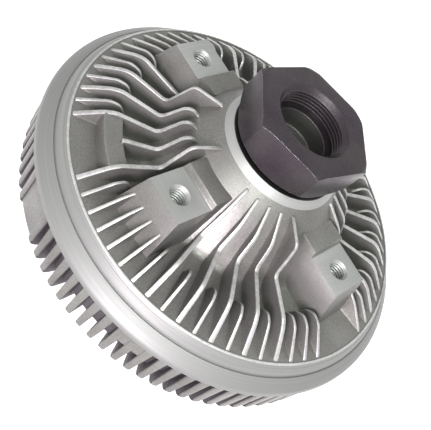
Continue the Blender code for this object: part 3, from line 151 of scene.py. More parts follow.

# Every finish is worked out from the place on the piece: blotches and fine grain in the
# casting skin, tool marks on what a lathe has cut. Some finishes are painted light and shade.


def surface_group(name, sockets):
    """Empty shader group with inputs given by name and value."""
    tree = bpy.data.node_groups.new(name, "ShaderNodeTree")
    kinds = {"Colour": "NodeSocketColor", "Value": "NodeSocketFloat", "Direction": "NodeSocketVector"}
    for label, kind, value in sockets:
        socket = tree.interface.new_socket(label, in_out="INPUT", socket_type=kinds[kind])
        socket.default_value = value
    return tree


def skin_group():
    """Grain of a cast skin: light and dark blotches, pits and their relief."""
    tree = surface_group(
        "cast_skin",
        [
            ("Light", "Colour", (0.36, 0.37, 0.35, 1.0)),
            ("Dark", "Colour", (0.20, 0.21, 0.20, 1.0)),
            ("Roughness", "Value", 0.5),
            ("Grain", "Value", 900.0),
            ("Relief", "Value", 0.25),
        ],
    )
    tree.interface.new_socket("Colour", in_out="OUTPUT", socket_type="NodeSocketColor")
    tree.interface.new_socket("Roughness", in_out="OUTPUT", socket_type="NodeSocketFloat")
    tree.interface.new_socket("Normal", in_out="OUTPUT", socket_type="NodeSocketVector")
    entry = add_node(tree, "NodeGroupInput")
    leave = add_node(tree, "NodeGroupOutput")
    place = add_node(tree, "ShaderNodeTexCoord")
    grain = add_node(tree, "ShaderNodeTexNoise", {"Detail": 6.0, "Roughness": 0.65})
    blotch = add_node(tree, "ShaderNodeTexNoise", {"Scale": 45.0, "Detail": 3.0, "Roughness": 0.5})
    tree.links.new(place.outputs["Object"], grain.inputs["Vector"])
    tree.links.new(place.outputs["Object"], blotch.inputs["Vector"])
    tree.links.new(entry.outputs["Grain"], grain.inputs["Scale"])
    both = add_node(tree, "ShaderNodeMath", operation="ADD")
    tree.links.new(grain.outputs["Fac"], both.inputs[0])
    tree.links.new(blotch.outputs["Fac"], both.inputs[1])
    share = add_node(
        tree, "ShaderNodeMapRange", {"From Min": 0.7, "From Max": 1.3, "To Min": 0.0, "To Max": 1.0}
    )
    tree.links.new(both.outputs[0], share.inputs["Value"])
    tint = add_node(tree, "ShaderNodeMix", data_type="RGBA")
    tree.links.new(share.outputs[0], tint.inputs["Factor"])
    tree.links.new(entry.outputs["Dark"], tint.inputs["A"])
    tree.links.new(entry.outputs["Light"], tint.inputs["B"])
    tree.links.new(tint.outputs["Result"], leave.inputs["Colour"])
    rough = add_node(
        tree, "ShaderNodeMapRange", {"From Min": 0.0, "From Max": 1.0, "To Min": 0.12, "To Max": -0.08}
    )
    tree.links.new(share.outputs[0], rough.inputs["Value"])
    total = add_node(tree, "ShaderNodeMath", operation="ADD")
    tree.links.new(rough.outputs[0], total.inputs[0])
    tree.links.new(entry.outputs["Roughness"], total.inputs[1])
    tree.links.new(total.outputs[0], leave.inputs["Roughness"])
    bump = add_node(tree, "ShaderNodeBump", {"Distance": 0.00025})
    tree.links.new(entry.outputs["Relief"], bump.inputs["Strength"])
    tree.links.new(grain.outputs["Fac"], bump.inputs["Height"])
    tree.links.new(bump.outputs[0], leave.inputs["Normal"])
    return tree


CAST_SKIN = skin_group()


def lathe_group():
    """Fine rings that a lathe leaves, with their relief."""
    tree = surface_group(
        "lathe_marks",
        [
            ("Light", "Colour", (0.5, 0.5, 0.5, 1.0)),
            ("Dark", "Colour", (0.3, 0.3, 0.3, 1.0)),
            ("Roughness", "Value", 0.35),
            ("Grain", "Value", 2500.0),
            ("Relief", "Value", 0.1),
        ],
    )
    tree.interface.new_socket("Colour", in_out="OUTPUT", socket_type="NodeSocketColor")
    tree.interface.new_socket("Roughness", in_out="OUTPUT", socket_type="NodeSocketFloat")
    tree.interface.new_socket("Normal", in_out="OUTPUT", socket_type="NodeSocketVector")
    entry = add_node(tree, "NodeGroupInput")
    leave = add_node(tree, "NodeGroupOutput")
    place = add_node(tree, "ShaderNodeTexCoord")
    apart = add_node(tree, "ShaderNodeSeparateXYZ")
    tree.links.new(place.outputs["Object"], apart.inputs[0])
    flat = add_node(tree, "ShaderNodeCombineXYZ")
    tree.links.new(apart.outputs["X"], flat.inputs["X"])
    tree.links.new(apart.outputs["Y"], flat.inputs["Y"])
    radius = add_node(tree, "ShaderNodeVectorMath", operation="LENGTH")
    tree.links.new(flat.outputs[0], radius.inputs[0])
    angle = add_node(tree, "ShaderNodeMath", operation="ARCTAN2")
    tree.links.new(apart.outputs["Y"], angle.inputs[0])
    tree.links.new(apart.outputs["X"], angle.inputs[1])
    ring_place = add_node(tree, "ShaderNodeCombineXYZ")
    for source, axis in ((radius.outputs["Value"], "X"), (apart.outputs["Z"], "Y")):
        scaled = add_node(tree, "ShaderNodeMath", operation="MULTIPLY")
        tree.links.new(source, scaled.inputs[0])
        tree.links.new(entry.outputs["Grain"], scaled.inputs[1])
        tree.links.new(scaled.outputs[0], ring_place.inputs[axis])
    tree.links.new(angle.outputs[0], ring_place.inputs["Z"])
    rings = add_node(tree, "ShaderNodeTexNoise", {"Scale": 1.0, "Detail": 3.0, "Roughness": 0.6})
    tree.links.new(ring_place.outputs[0], rings.inputs["Vector"])
    share = add_node(
        tree, "ShaderNodeMapRange", {"From Min": 0.35, "From Max": 0.65, "To Min": 0.0, "To Max": 1.0}
    )
    tree.links.new(rings.outputs["Fac"], share.inputs["Value"])
    tint = add_node(tree, "ShaderNodeMix", data_type="RGBA")
    tree.links.new(share.outputs[0], tint.inputs["Factor"])
    tree.links.new(entry.outputs["Dark"], tint.inputs["A"])
    tree.links.new(entry.outputs["Light"], tint.inputs["B"])
    tree.links.new(tint.outputs["Result"], leave.inputs["Colour"])
    rough = add_node(
        tree, "ShaderNodeMapRange", {"From Min": 0.0, "From Max": 1.0, "To Min": 0.06, "To Max": -0.06}
    )
    tree.links.new(share.outputs[0], rough.inputs["Value"])
    total = add_node(tree, "ShaderNodeMath", operation="ADD")
    tree.links.new(rough.outputs[0], total.inputs[0])
    tree.links.new(entry.outputs["Roughness"], total.inputs[1])
    tree.links.new(total.outputs[0], leave.inputs["Roughness"])
    bump = add_node(tree, "ShaderNodeBump", {"Distance": 0.0001})
    tree.links.new(entry.outputs["Relief"], bump.inputs["Strength"])
    tree.links.new(rings.outputs["Fac"], bump.inputs["Height"])
    tree.links.new(bump.outputs[0], leave.inputs["Normal"])
    return tree


LATHE_MARKS = lathe_group()


def skin_material(name, light, dark, roughness, grain, relief, metallic, group=CAST_SKIN):
    """Finish that wears one of the surface groups with its own values."""
    material = bpy.data.materials.new(name)
    material.use_nodes = True
    tree = material.node_tree
    shader = tree.nodes["Principled BSDF"]
    shader.inputs["Metallic"].default_value = metallic
    skin = add_node(tree, "ShaderNodeGroup", node_tree=group)
    for label, value in (
        ("Light", (*light, 1.0)),
        ("Dark", (*dark, 1.0)),
        ("Roughness", roughness),
        ("Grain", grain),
        ("Relief", relief),
    ):
        skin.inputs[label].default_value = value
    tree.links.new(skin.outputs["Colour"], shader.inputs["Base Color"])
    tree.links.new(skin.outputs["Roughness"], shader.inputs["Roughness"])
    tree.links.new(skin.outputs["Normal"], shader.inputs["Normal"])
    return material


# Front cover: an aluminium casting with a comb of 88 fins all round and a smooth lip
# that is spun over the flange of the rear housing. The lip keeps the lathe's fine rings,
# the rest has the raw skin of the mould. The fins' sides and the outer wall under the lip
# carry painted shade; the lip's inner edge is lighter for wear and painted highlight.


def outline_face(bm, corners):
    """Flat face in the X-Z plane; each corner is a radius, a level and a rounding."""
    verts = [bm.verts.new((r * MM, 0.0, SPLIT_LEVEL + z * MM)) for r, z, rounding in corners]
    bm.faces.new(verts)
    sizes = sorted({rounding for r, z, rounding in corners if rounding})
    for size in sizes:
        picked = [vert for vert, corner in zip(verts, corners) if corner[2] == size]
        bmesh.ops.bevel(
            bm,
            geom=picked,
            offset=size * MM,
            offset_type="OFFSET",
            segments=4,
            profile=0.5,
            affect="VERTICES",
            material=-1,
            clamp_overlap=True,
        )
    return bm.faces[:][0]


def settle(bm):
    """Join what coincides and turn the faces outwards."""
    bmesh.ops.remove_doubles(bm, verts=bm.verts, dist=0.0005 * MM)
    bmesh.ops.recalc_face_normals(bm, faces=bm.faces)
    return bm


ON_AXIS = 0.001 * MM


def turned(corners, steps):
    """Body of a lathe or a mould: the outline spun once round the shaft's axis."""
    bm = bmesh.new()
    section = outline_face(bm, corners)
    core = [edge for edge in section.edges if max(vert.co.x for vert in edge.verts) < ON_AXIS]
    bmesh.ops.spin(
        bm,
        geom=[edge for edge in section.edges if edge not in core],
        cent=(0.0, 0.0, 0.0),
        axis=(0.0, 0.0, 1.0),
        angle=2.0 * math.pi,
        steps=steps,
        use_merge=True,
    )
    bmesh.ops.delete(bm, geom=[section], context="FACES_ONLY")
    bmesh.ops.delete(bm, geom=core, context="EDGES")
    return settle(bm)


def standing_plate(corners, half_width, edge_rounding, free_level=-100.0):
    """Plate on edge along +X, with its free edges rounded above a level."""
    bm = bmesh.new()
    side = outline_face(bm, corners)
    grown = bmesh.ops.extrude_face_region(bm, geom=[side])["geom"]
    far_side = [item for item in grown if isinstance(item, bmesh.types.BMVert)]
    bmesh.ops.translate(bm, verts=far_side, vec=(0.0, 2.0 * half_width * MM, 0.0))
    bmesh.ops.translate(bm, verts=bm.verts, vec=(0.0, -half_width * MM, 0.0))
    settle(bm)
    lowest = SPLIT_LEVEL + free_level * MM
    free = [
        edge
        for edge in bm.edges
        if abs(edge.verts[0].co.y - edge.verts[1].co.y) < 1e-7
        and min(vert.co.z for vert in edge.verts) > lowest
    ]
    bmesh.ops.bevel(
        bm,
        geom=free,
        offset=edge_rounding * MM,
        offset_type="OFFSET",
        segments=2,
        profile=0.5,
        affect="EDGES",
        material=-1,
        clamp_overlap=True,
    )
    return bm


def swept(corners, start, end, steps):
    """Block swept about the axis between two angles in degrees."""
    bm = bmesh.new()
    section = outline_face(bm, corners)
    bmesh.ops.rotate(bm, verts=bm.verts, matrix=Matrix.Rotation(start * DEG, 3, "Z"))
    bmesh.ops.spin(
        bm,
        geom=[section],
        cent=(0.0, 0.0, 0.0),
        axis=(0.0, 0.0, 1.0),
        angle=(end - start) * DEG,
        steps=steps,
        use_duplicate=False,
    )
    return settle(bm)


CASTING = skin_material(
    "raw_casting", (0.235, 0.235, 0.218), (0.135, 0.133, 0.125), 0.40, 1300.0, 0.3, 0.6
)
# Light skin for wear and painted highlight on the fins' crests and the lip's inner edge.
WORN_AND_HIGHLIT_CREST = skin_material(
    "worn_and_highlit_crest", (0.68, 0.68, 0.67), (0.32, 0.32, 0.31), 0.34, 700.0, 0.2, 0.75
)
MACHINED = skin_material(
    "machined_casting", (0.385, 0.395, 0.38), (0.345, 0.355, 0.34), 0.42, 2200.0, 0.04, 0.6, LATHE_MARKS
)
SPUN = skin_material(
    "spun_lip", (0.240, 0.247, 0.236), (0.215, 0.221, 0.211), 0.50, 1800.0, 0.04, 0.5, LATHE_MARKS
)
# Near-black skin painted on as the nut's shadow on the hub's top.
NUT_SHADOW_PAINT = skin_material(
    "painted_nut_shadow", (0.020, 0.019, 0.019), (0.010, 0.009, 0.009), 0.45, 900.0, 0.3, 0.3
)
# Dark skin painted on as shade: the front fins' sides and the outer wall under the lip.
PAINTED_SHADE_SKIN = skin_material(
    "painted_shade_casting", (0.066, 0.055, 0.064), (0.030, 0.024, 0.029), 0.55, 1100.0, 0.3, 0.3
)
CAST_FINISHES = [CASTING, WORN_AND_HIGHLIT_CREST, MACHINED, SPUN, NUT_SHADOW_PAINT, PAINTED_SHADE_SKIN]
WEAR_AND_HIGHLIGHT_SLOT = 1
CUT = 2
LIP = 3
NUT_SHADOW_SLOT = 4
PAINTED_SHADE_SLOT = 5


def finish_where(bm, finish, chosen):
    """Give a finish to the faces for which the test holds."""
    bm.normal_update()
    for face in bm.faces:
        if chosen(face):
            face.material_index = finish
    return bm


SIDE_TILT = 0.93


def off_the_sides(face):
    """Whether a face of a standing plate is on its crest or its rounding."""
    return abs(face.normal.y) < SIDE_TILT


def everywhere(face):
    """Test that holds for each face."""
    return True


def round_the_axis(template, angles):
    """Copies of a mesh turned to several angles in degrees, in one bmesh."""
    mesh = bpy.data.meshes.new("template")
    template.to_mesh(mesh)
    template.free()
    bm = bmesh.new()
    last = 0.0
    for angle in angles:
        mesh.transform(Matrix.Rotation((angle - last) * DEG, 4, "Z"))
        last = angle
        bm.from_mesh(mesh)
    bpy.data.meshes.remove(mesh)
    return bm


def scene_object(name, bm, finishes):
    """Object at the origin with the finishes in its slots."""
    mesh = bpy.data.meshes.new(name)
    bm.to_mesh(mesh)
    bm.free()
    for finish in finishes:
        mesh.materials.append(finish)
    obj = bpy.data.objects.new(name, mesh)
    bpy.context.scene.collection.objects.link(obj)
    return obj


def carved(obj, steps):
    """Apply a row of exact booleans, each an operation and a helper's bmesh."""
    helpers = []
    for operation, bm in steps:
        helper = scene_object("helper", bm, obj.data.materials)
        boolean = obj.modifiers.new(operation, "BOOLEAN")
        boolean.operation = operation
        boolean.solver = "EXACT"
        boolean.object = helper
        helpers.append(helper)
    graph = bpy.context.evaluated_depsgraph_get()
    mesh = bpy.data.meshes.new_from_object(obj.evaluated_get(graph))
    obj.modifiers.clear()
    obj.data = mesh
    for helper in helpers:
        bpy.data.objects.remove(helper, do_unlink=True)
    return obj


def carved_in_turn(obj, steps):
    """Apply a long row of exact booleans one by one, on triangles that are sound.

    Fins that cross the floor at a slight angle leave slivers with three corners in a
    line. The next boolean can drop such a face, and an open body loses pieces at random.
    """
    for number, step in enumerate(steps):
        if number:
            bm = bmesh.new()
            bm.from_mesh(obj.data)
            bmesh.ops.triangulate(bm, faces=bm.faces[:], quad_method="BEAUTY", ngon_method="BEAUTY")
            bm.to_mesh(obj.data)
            bm.free()
        carved(obj, [step])
    return obj


def finished(obj, body, nodes, sharp=32.0):
    """Shade the piece and put it in its node's place on its body."""
    obj.data.shade_smooth()
    obj.data.set_sharp_from_angle(angle=sharp * DEG)
    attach(obj, body)
    if nodes:
        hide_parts(*nodes)
    return obj


TURN_STEPS = 264
COVER_PROFILE = [
    (3.6, -18.0, 0.3),
    (3.6, -11.6, 0.0),
    (8.0, -11.4, 0.6),
    (8.0, -14.0, 0.8),
    (37.5, -14.0, 0.8),
    (37.5, -8.1, 0.0),
    (44.1, -8.1, 0.0),
    (44.1, -5.0, 0.4),
    (57.5, -5.0, 0.0),
    (57.5, -1.2, 0.3),
    (59.1, -1.2, 0.3),
    (59.1, -5.0, 0.0),
    (72.0, -5.0, 0.8),
    (72.0, -1.8, 0.0),
    (76.6, -1.8, 0.0),
    (76.6, 0.7, 0.0),
    (78.7, 0.7, 0.0),
    (78.7, 4.8, 0.0),
    (75.9, 9.6, 0.0),
    (75.9, 10.8, 0.3),
    (76.9, 10.5, 0.35),
    (77.5, 9.5, 0.2),
    (77.8, 9.4, 0.15),
    (79.3, 6.7, 0.1),
    (79.6, 5.7, 0.1),
    (80.1, 6.1, 0.2),
    (84.7, 2.0, 0.7),
    (85.0, 0.5, 0.3),
    (85.0, 0.0, 0.3),
    (82.4, -1.5, 0.8),
    (80.6, -14.0, 1.5),
    (74.0, -18.0, 1.5),
]
FRONT_FIN = [
    (83.1, 1.0, 0.0),
    (84.3, 0.3, 0.4),
    (83.5, -20.0, 1.6),
    (80.9, -22.6, 1.6),
    (64.0, -27.5, 0.8),
    (50.0, -27.5, 1.0),
    (50.0, -16.8, 0.0),
    (61.4, -16.8, 0.0),
]
FRONT_FIN_HALF = 1.3
FRONT_FIN_DRAFT = 1.6
FRONT_FINS = 88
FRONT_FIN_PITCH = 360.0 / FRONT_FINS
PLAIN_SEGMENT = (-24.5, -12.3)
SEGMENT_STEP = 0.9
SEGMENT_STEP_RADIUS = 63.0
LOW_WEB = (20.5, 28.6)
WEB = [(82.7, 1.0, 0.0), (83.9, 0.4, 0.3), (83.6, -7.9, 0.8), (81.3, -10.5, 0.8), (70.4, -10.5, 0.0)]
OUTER_WALL_RADIUS = 66.0
LIP_EDGE_LEVEL = 10.45

fin = standing_plate(FRONT_FIN, FRONT_FIN_HALF, 0.6, free_level=-27.6)
for vert in fin.verts:
    level = (vert.co.z - SPLIT_LEVEL) / MM
    vert.co.y *= 1.0 + (level + 20.0) * math.tan(FRONT_FIN_DRAFT * DEG) / FRONT_FIN_HALF
# The fins' side faces get the painted shade.
finish_where(fin, PAINTED_SHADE_SLOT, lambda face: abs(face.normal.y) > 0.9)
front_places = [
    index * FRONT_FIN_PITCH
    for index in range(FRONT_FINS)
    if (index * FRONT_FIN_PITCH - PLAIN_SEGMENT[0]) % 360.0 > PLAIN_SEGMENT[1] - PLAIN_SEGMENT[0]
]
segment = [
    (r - (SEGMENT_STEP if r > SEGMENT_STEP_RADIUS else 0.0), z, rounding)
    for r, z, rounding in FRONT_FIN
]


def on_the_wall(face):
    """Whether a face of the shell is on the outer wall that the fins stand on."""
    middle = face.calc_center_median()
    return middle.xy.length > OUTER_WALL_RADIUS * MM and middle.z < SPLIT_LEVEL and face.normal.z < 0.3


shell = turned(COVER_PROFILE, TURN_STEPS)
finish_where(shell, LIP, lambda face: face.calc_center_median().z > SPLIT_LEVEL)
# The lip's inner edge: wear and painted highlight.
finish_where(shell, WEAR_AND_HIGHLIGHT_SLOT, lambda face: face.calc_center_median().z > SPLIT_LEVEL + LIP_EDGE_LEVEL * MM)
# The outer wall under the lip gets the painted shade.
finish_where(shell, PAINTED_SHADE_SLOT, on_the_wall)
cover = scene_object("front_cover_casting", shell, CAST_FINISHES)
carved(
    cover,
    [
        ("UNION", round_the_axis(fin, front_places)),
        ("UNION", swept(segment, *PLAIN_SEGMENT, 9)),
        ("UNION", swept(WEB, *LOW_WEB, 6)),
    ],
)
finished(cover, "housing", ["front_cover"])

# Rear housing: an aluminium casting with a tall hub for the bearing, 68 places for its
# radial cooling fins, and four pads for the fan, faced and tapped for M8 bolts.
FIN_FLOOR = 10.4
HUB_STEPS = 272
HOUSING_PROFILE = [
    (20.5, 38.7, 0.4),
    (23.5, 38.7, 0.3),
    (26.0, 36.1, 0.5),
    (33.6, 28.9, 3.0),
    (38.6, 20.6, 3.0),
    (45.6, 10.4, 2.4),
    (75.8, 10.4, 0.0),
    (75.8, 9.4, 0.0),
    (78.4, 4.6, 0.0),
    (78.4, 1.0, 0.0),
    (72.0, 1.0, 0.0),
    (72.0, 6.2, 0.8),
    (37.0, 6.2, 0.6),
    (26.3, 14.1, 0.0),
    (26.3, 15.9, 0.0),
    (27.3, 15.9, 0.0),
    (27.3, 18.0, 0.0),
    (26.3, 18.0, 0.0),
    (26.3, 33.3, 0.4),
    (20.5, 33.3, 0.4),
]
LONG_CREST = [
    (75.2, 10.4, 0.0),
    (65.9, 17.6, 1.5),
    (62.0, 19.3, 1.5),
    (44.6, 18.4, 1.6),
    (39.7, 27.8, 1.6),
    (36.2, 30.2, 1.2),
    (28.2, 34.7, 0.8),
]
HUB_ROOT = [(27.0, 33.5, 0.0), (32.4, 27.7, 0.0), (37.4, 19.4, 0.0), (44.4, 9.2, 0.0)]
LOBED_CREST = LONG_CREST[:4] + [(39.5, 28.8, 1.8), (36.6, 29.9, 1.6), (32.8, 28.4, 0.0)]
TALL_CREST = LONG_CREST[:3] + [(45.4, 19.0, 1.6), (40.8, 33.6, 2.0), (28.2, 34.7, 0.8)]
SHORT_CREST = [
    (75.4, 10.4, 0.0),
    (64.9, 17.6, 1.3),
    (61.6, 17.9, 1.0),
    (59.7, 17.3, 0.9),
    (57.2, 14.4, 0.6),
]
ROOT = 9.2
PAD_CREST = [(75.4, 10.4, 0.0), (65.1, 17.6, 1.0), (60.5, 19.8, 0.5), (56.6, 19.8, 0.0)]
INNER_END = [(59.4, 10.4, 0.0), (59.4, 19.2, 0.8)]
# Half of the fin's thickness, its draft in degrees and the level that has this thickness.
LONG_BODY = (0.9, 0.9, 19.3)
SHORT_BODY = (0.55, 1.7, 17.9)
FIN_KINDS = {
    "long": (LONG_CREST + HUB_ROOT, *LONG_BODY),
    "inner": (INNER_END + LONG_CREST[3:] + HUB_ROOT, *LONG_BODY),
    "lobed": (LOBED_CREST + HUB_ROOT[1:], *LONG_BODY),
    "lobed inner": (INNER_END + LOBED_CREST[3:] + HUB_ROOT[1:], *LONG_BODY),
    "tall": (TALL_CREST + HUB_ROOT, *LONG_BODY),
    "level": (LONG_CREST[:4] + [(39.4, 18.0, 0.0), (44.4, 9.2, 0.0)], *LONG_BODY),
    "short": (SHORT_CREST + [(56.3, ROOT, 0.0)], *SHORT_BODY),
    "pad": (PAD_CREST + [(56.6, ROOT, 0.0)], *SHORT_BODY),
}
LONG_PLACES = (3, 5, 7, 9, 11, 13)
PAD_PLACES = (0, 1, 15, 16)
PLAIN_PLACES = ((0, 15), (0, 16), (1, 0))
PLATEAU_PLACES = ((3, 10), (3, 11), (3, 12), (2, 4), (2, 5), (2, 6))
ODD_KINDS = {
    (0, 11): "tall",
    (3, 3): "level",
    (3, 5): "tall",
    (3, 7): "lobed",
    (3, 9): "lobed",
    (3, 11): "lobed inner",
    (3, 13): "tall",
}
FIN_PLACES = 68
PLACES_A_PAD = 17
FIN_PITCH = 360.0 / FIN_PLACES
FOOT_FILLET = 0.9
FILLET_RUN_OUT = 5.0


def fin_kind(index):
    """What the mould has at a fin place, counted from the first pad."""
    quadrant, place = divmod(index, PLACES_A_PAD)
    long_place = place in LONG_PLACES
    if (quadrant, place) in PLAIN_PLACES:
        return None
    if (quadrant, place) in ODD_KINDS:
        return ODD_KINDS[(quadrant, place)]
    if (quadrant, place) in PLATEAU_PLACES:
        return "inner" if long_place else None
    if long_place and (quadrant, place) != (0, 13):
        return "long"
    return "pad" if place in PAD_PLACES else "short"


def cast_fin(corners, half_width, draft, top):
    """Drafted fin whose foot swells into the floor with a fillet."""
    closed = [(corners[0][0], ROOT, 0.0)] + corners
    bm = standing_plate(closed, half_width, 0.38 * half_width + 0.1, free_level=FIN_FLOOR - 0.5)
    for height in (0.2, 0.5, FOOT_FILLET):
        bmesh.ops.bisect_plane(
            bm,
            geom=bm.verts[:] + bm.edges[:] + bm.faces[:],
            plane_co=(0.0, 0.0, SPLIT_LEVEL + (FIN_FLOOR + height) * MM),
            plane_no=(0.0, 0.0, 1.0),
        )
    # Upward faces of crest and rounding: wear and painted highlight.
    finish_where(bm, WEAR_AND_HIGHLIGHT_SLOT, lambda face: off_the_sides(face) and face.normal.z > 0.0)
    for vert in bm.verts:
        height = (vert.co.z - SPLIT_LEVEL) / MM - FIN_FLOOR
        low = min(max(FOOT_FILLET - height, 0.0), FOOT_FILLET)
        fillet = FOOT_FILLET - math.sqrt(FOOT_FILLET**2 - low**2)
        fillet *= min(max((corners[0][0] - vert.co.x / MM) / FILLET_RUN_OUT, 0.0), 1.0)
        width = half_width + (top - FIN_FLOOR - height) * math.tan(draft * DEG) + fillet
        vert.co.y *= width / half_width
    return bm


PAD = [
    (37.4, ROOT, 0.0),
    (63.6, ROOT, 0.0),
    (60.4, 19.0, 3.0),
    (57.8, 27.3, 0.0),
    (40.8, 27.3, 0.4),
    (40.1, 30.0, 0.4),
    (31.5, 30.0, 0.0),
]
PAD_TOP = 27.3
PAD_HALF = 9.4
PAD_DRAFT = 8.8
HUB_CUT_LEVEL = 35.9
NUT_SHADOW_LEVEL = 38.4
pad = standing_plate(PAD, PAD_HALF, 0.35, free_level=11.0)
for vert in pad.verts:
    level = (vert.co.z - SPLIT_LEVEL) / MM
    vert.co.y *= 1.0 + (PAD_TOP - level) * math.tan(PAD_DRAFT * DEG) / PAD_HALF
PLATEAU = [(58.6, ROOT, 0.0), (66.0, ROOT, 0.0), (65.7, 17.9, 0.8), (58.6, 17.9, 0.0)]
PAD_ANGLES = [0.0, 90.0, 180.0, 270.0]
STUD_HOLE = [(0.0, 12.3, 0.0), (3.4, 12.3, 0.0), (3.4, 26.4, 0.0), (5.3, 28.3, 0.0), (0.0, 28.3, 0.0)]
STUD_DISTANCE = 49.8
SHOULDER_LEVEL = 29.0


def thread_groove(core, root, pitch, top, foot, steps_a_turn):
    """Helical cutter of a tap, from a level above the mouth down to its last turn."""
    bm = bmesh.new()
    inside = core - 0.15
    half = 0.47 * pitch
    verts = [
        bm.verts.new((radius * MM, 0.0, SPLIT_LEVEL + level * MM))
        for radius, level in ((inside, top + half), (inside, top - half), (root, top))
    ]
    section = bm.faces.new(verts)
    steps = round((top - foot) / pitch * steps_a_turn)
    bmesh.ops.spin(
        bm,
        geom=[section],
        cent=(0.0, 0.0, 0.0),
        axis=(0.0, 0.0, 1.0),
        dvec=(0.0, 0.0, -pitch * MM / steps_a_turn),
        angle=2.0 * math.pi * steps / steps_a_turn,
        steps=steps,
        use_duplicate=False,
    )
    return settle(bm)


finish_where(
    pad,
    CUT,
    lambda face: face.normal.z > 0.999
    and face.calc_center_median().z < SPLIT_LEVEL + SHOULDER_LEVEL * MM,
)
stud_cutters = [turned(STUD_HOLE, 48), thread_groove(3.4, 4.0, 1.25, 28.2, 14.5, 32)]
for cutter in stud_cutters:
    finish_where(cutter, CUT, everywhere)
    bmesh.ops.translate(cutter, verts=cutter.verts, vec=(STUD_DISTANCE * MM, 0.0, 0.0))
hub = turned(HOUSING_PROFILE, HUB_STEPS)
finish_where(hub, CUT, lambda face: face.calc_center_median().z > SPLIT_LEVEL + HUB_CUT_LEVEL * MM)
# Hub top just under the nut: painted shadow of the nut.
finish_where(hub, NUT_SHADOW_SLOT, lambda face: face.calc_center_median().z > SPLIT_LEVEL + NUT_SHADOW_LEVEL * MM)
housing = scene_object("rear_housing_casting", hub, CAST_FINISHES)
fin_steps = []
for kind, (corners, half_width, draft, top) in FIN_KINDS.items():
    places = [(index + 0.5) * FIN_PITCH for index in range(FIN_PLACES) if fin_kind(index) == kind]
    fin_steps.append(("UNION", round_the_axis(cast_fin(corners, half_width, draft, top), places)))
plateau_steps = []
for quadrant, place in (PLATEAU_PLACES[0], PLATEAU_PLACES[3]):
    first = quadrant * PLACES_A_PAD + place
    sweep = swept(PLATEAU, (first - 0.5) * FIN_PITCH, (first + 3.5) * FIN_PITCH, 9)
    plateau_steps.append(("UNION", sweep))
carved_in_turn(
    housing,
    [("UNION", round_the_axis(pad, PAD_ANGLES))]
    + fin_steps
    + plateau_steps
    + [("DIFFERENCE", round_the_axis(cutter, PAD_ANGLES)) for cutter in stud_cutters],
)
finished(housing, "housing", ["rear_housing"])

# Input shaft: one steel forging, turned all over, with the spanner's hexagon, the seat
# of the bearing and a deep socket whose fine thread takes the water pump's shaft.
HEX_CORNER = 27.1
HEX_TURN = 50.0
HEX_FOOT = 39.5
HEX_HEIGHT = 18.0
THREAD_END = 46.7
EDGE_WEAR_AND_HIGHLIGHT = 1
BORE_PAINTED_LIGHT = 2
NUT_CHAMFERS = [
    (0.0, 40.5, 0.0),
    (23.3, 40.5, 0.4),
    (28.1, 45.3, 0.0),
    (28.1, 54.5, 0.0),
    (25.3, 56.1, 0.3),
    (0.0, 56.1, 0.0),
]
SHAFT_BODY = [
    (0.0, 42.5, 0.0),
    (17.0, 42.5, 0.0),
    (17.0, 34.9, 0.0),
    (15.2, 33.3, 0.0),
    (12.05, 33.3, 0.0),
    (12.05, -2.4, 0.0),
    (11.05, -3.4, 0.0),
    (0.0, -3.4, 0.0),
]
SOCKET = [
    (0.0, 58.1, 0.0),
    (18.0, 58.1, 0.0),
    (13.9, 54.0, 0.0),
    (13.9, 46.8, 0.0),
    (11.5, 46.8, 0.4),
    (11.5, 38.5, 0.8),
    (0.0, 38.5, 0.0),
]
STEEL = skin_material(
    "dark_steel", (0.066, 0.061, 0.061), (0.029, 0.018, 0.029), 0.34, 1600.0, 0.2, 0.7
)
# Lighter steel in the socket below the thread: painted light inside the bore.
BORE_PAINTED_LIGHT_STEEL = skin_material(
    "bore_painted_light_steel", (0.125, 0.125, 0.115), (0.060, 0.058, 0.055), 0.42, 1600.0, 0.2, 0.5
)
# Light steel on the hexagon's bevelled edges: wear and painted highlight.
RUBBED_AND_HIGHLIT_STEEL = skin_material(
    "rubbed_and_highlit_steel", (0.60, 0.58, 0.61), (0.20, 0.19, 0.21), 0.32, 700.0, 0.2, 0.9
)

socket = turned(SOCKET, 120)
# The socket's deep part takes the lighter steel as painted light.
finish_where(socket, BORE_PAINTED_LIGHT, lambda face: face.calc_center_median().z < SPLIT_LEVEL + THREAD_END * MM)
hexagon = bmesh.new()
corners = [HEX_TURN + 60.0 * number for number in range(6)]
ring = [
    hexagon.verts.new(
        (
            HEX_CORNER * MM * math.cos(angle * DEG),
            HEX_CORNER * MM * math.sin(angle * DEG),
            SPLIT_LEVEL + HEX_FOOT * MM,
        )
    )
    for angle in corners
]
foot = hexagon.faces.new(ring)
bmesh.ops.bevel(
    hexagon,
    geom=ring,
    offset=0.5 * MM,
    offset_type="OFFSET",
    segments=4,
    profile=0.5,
    affect="VERTICES",
    material=-1,
)
grown = bmesh.ops.extrude_face_region(hexagon, geom=hexagon.faces[:])["geom"]
raised = [item for item in grown if isinstance(item, bmesh.types.BMVert)]
bmesh.ops.translate(hexagon, verts=raised, vec=(0.0, 0.0, HEX_HEIGHT * MM))
settle(hexagon)
shaft = scene_object("input_shaft", hexagon, [STEEL, RUBBED_AND_HIGHLIT_STEEL, BORE_PAINTED_LIGHT_STEEL])
carved(
    shaft,
    [
        ("INTERSECT", turned(NUT_CHAMFERS, 180)),
        ("UNION", turned(SHAFT_BODY, 120)),
        ("DIFFERENCE", socket),
        ("DIFFERENCE", thread_groove(13.9, 14.85, 1.5, 57.2, 48.4, 72)),
    ],
)
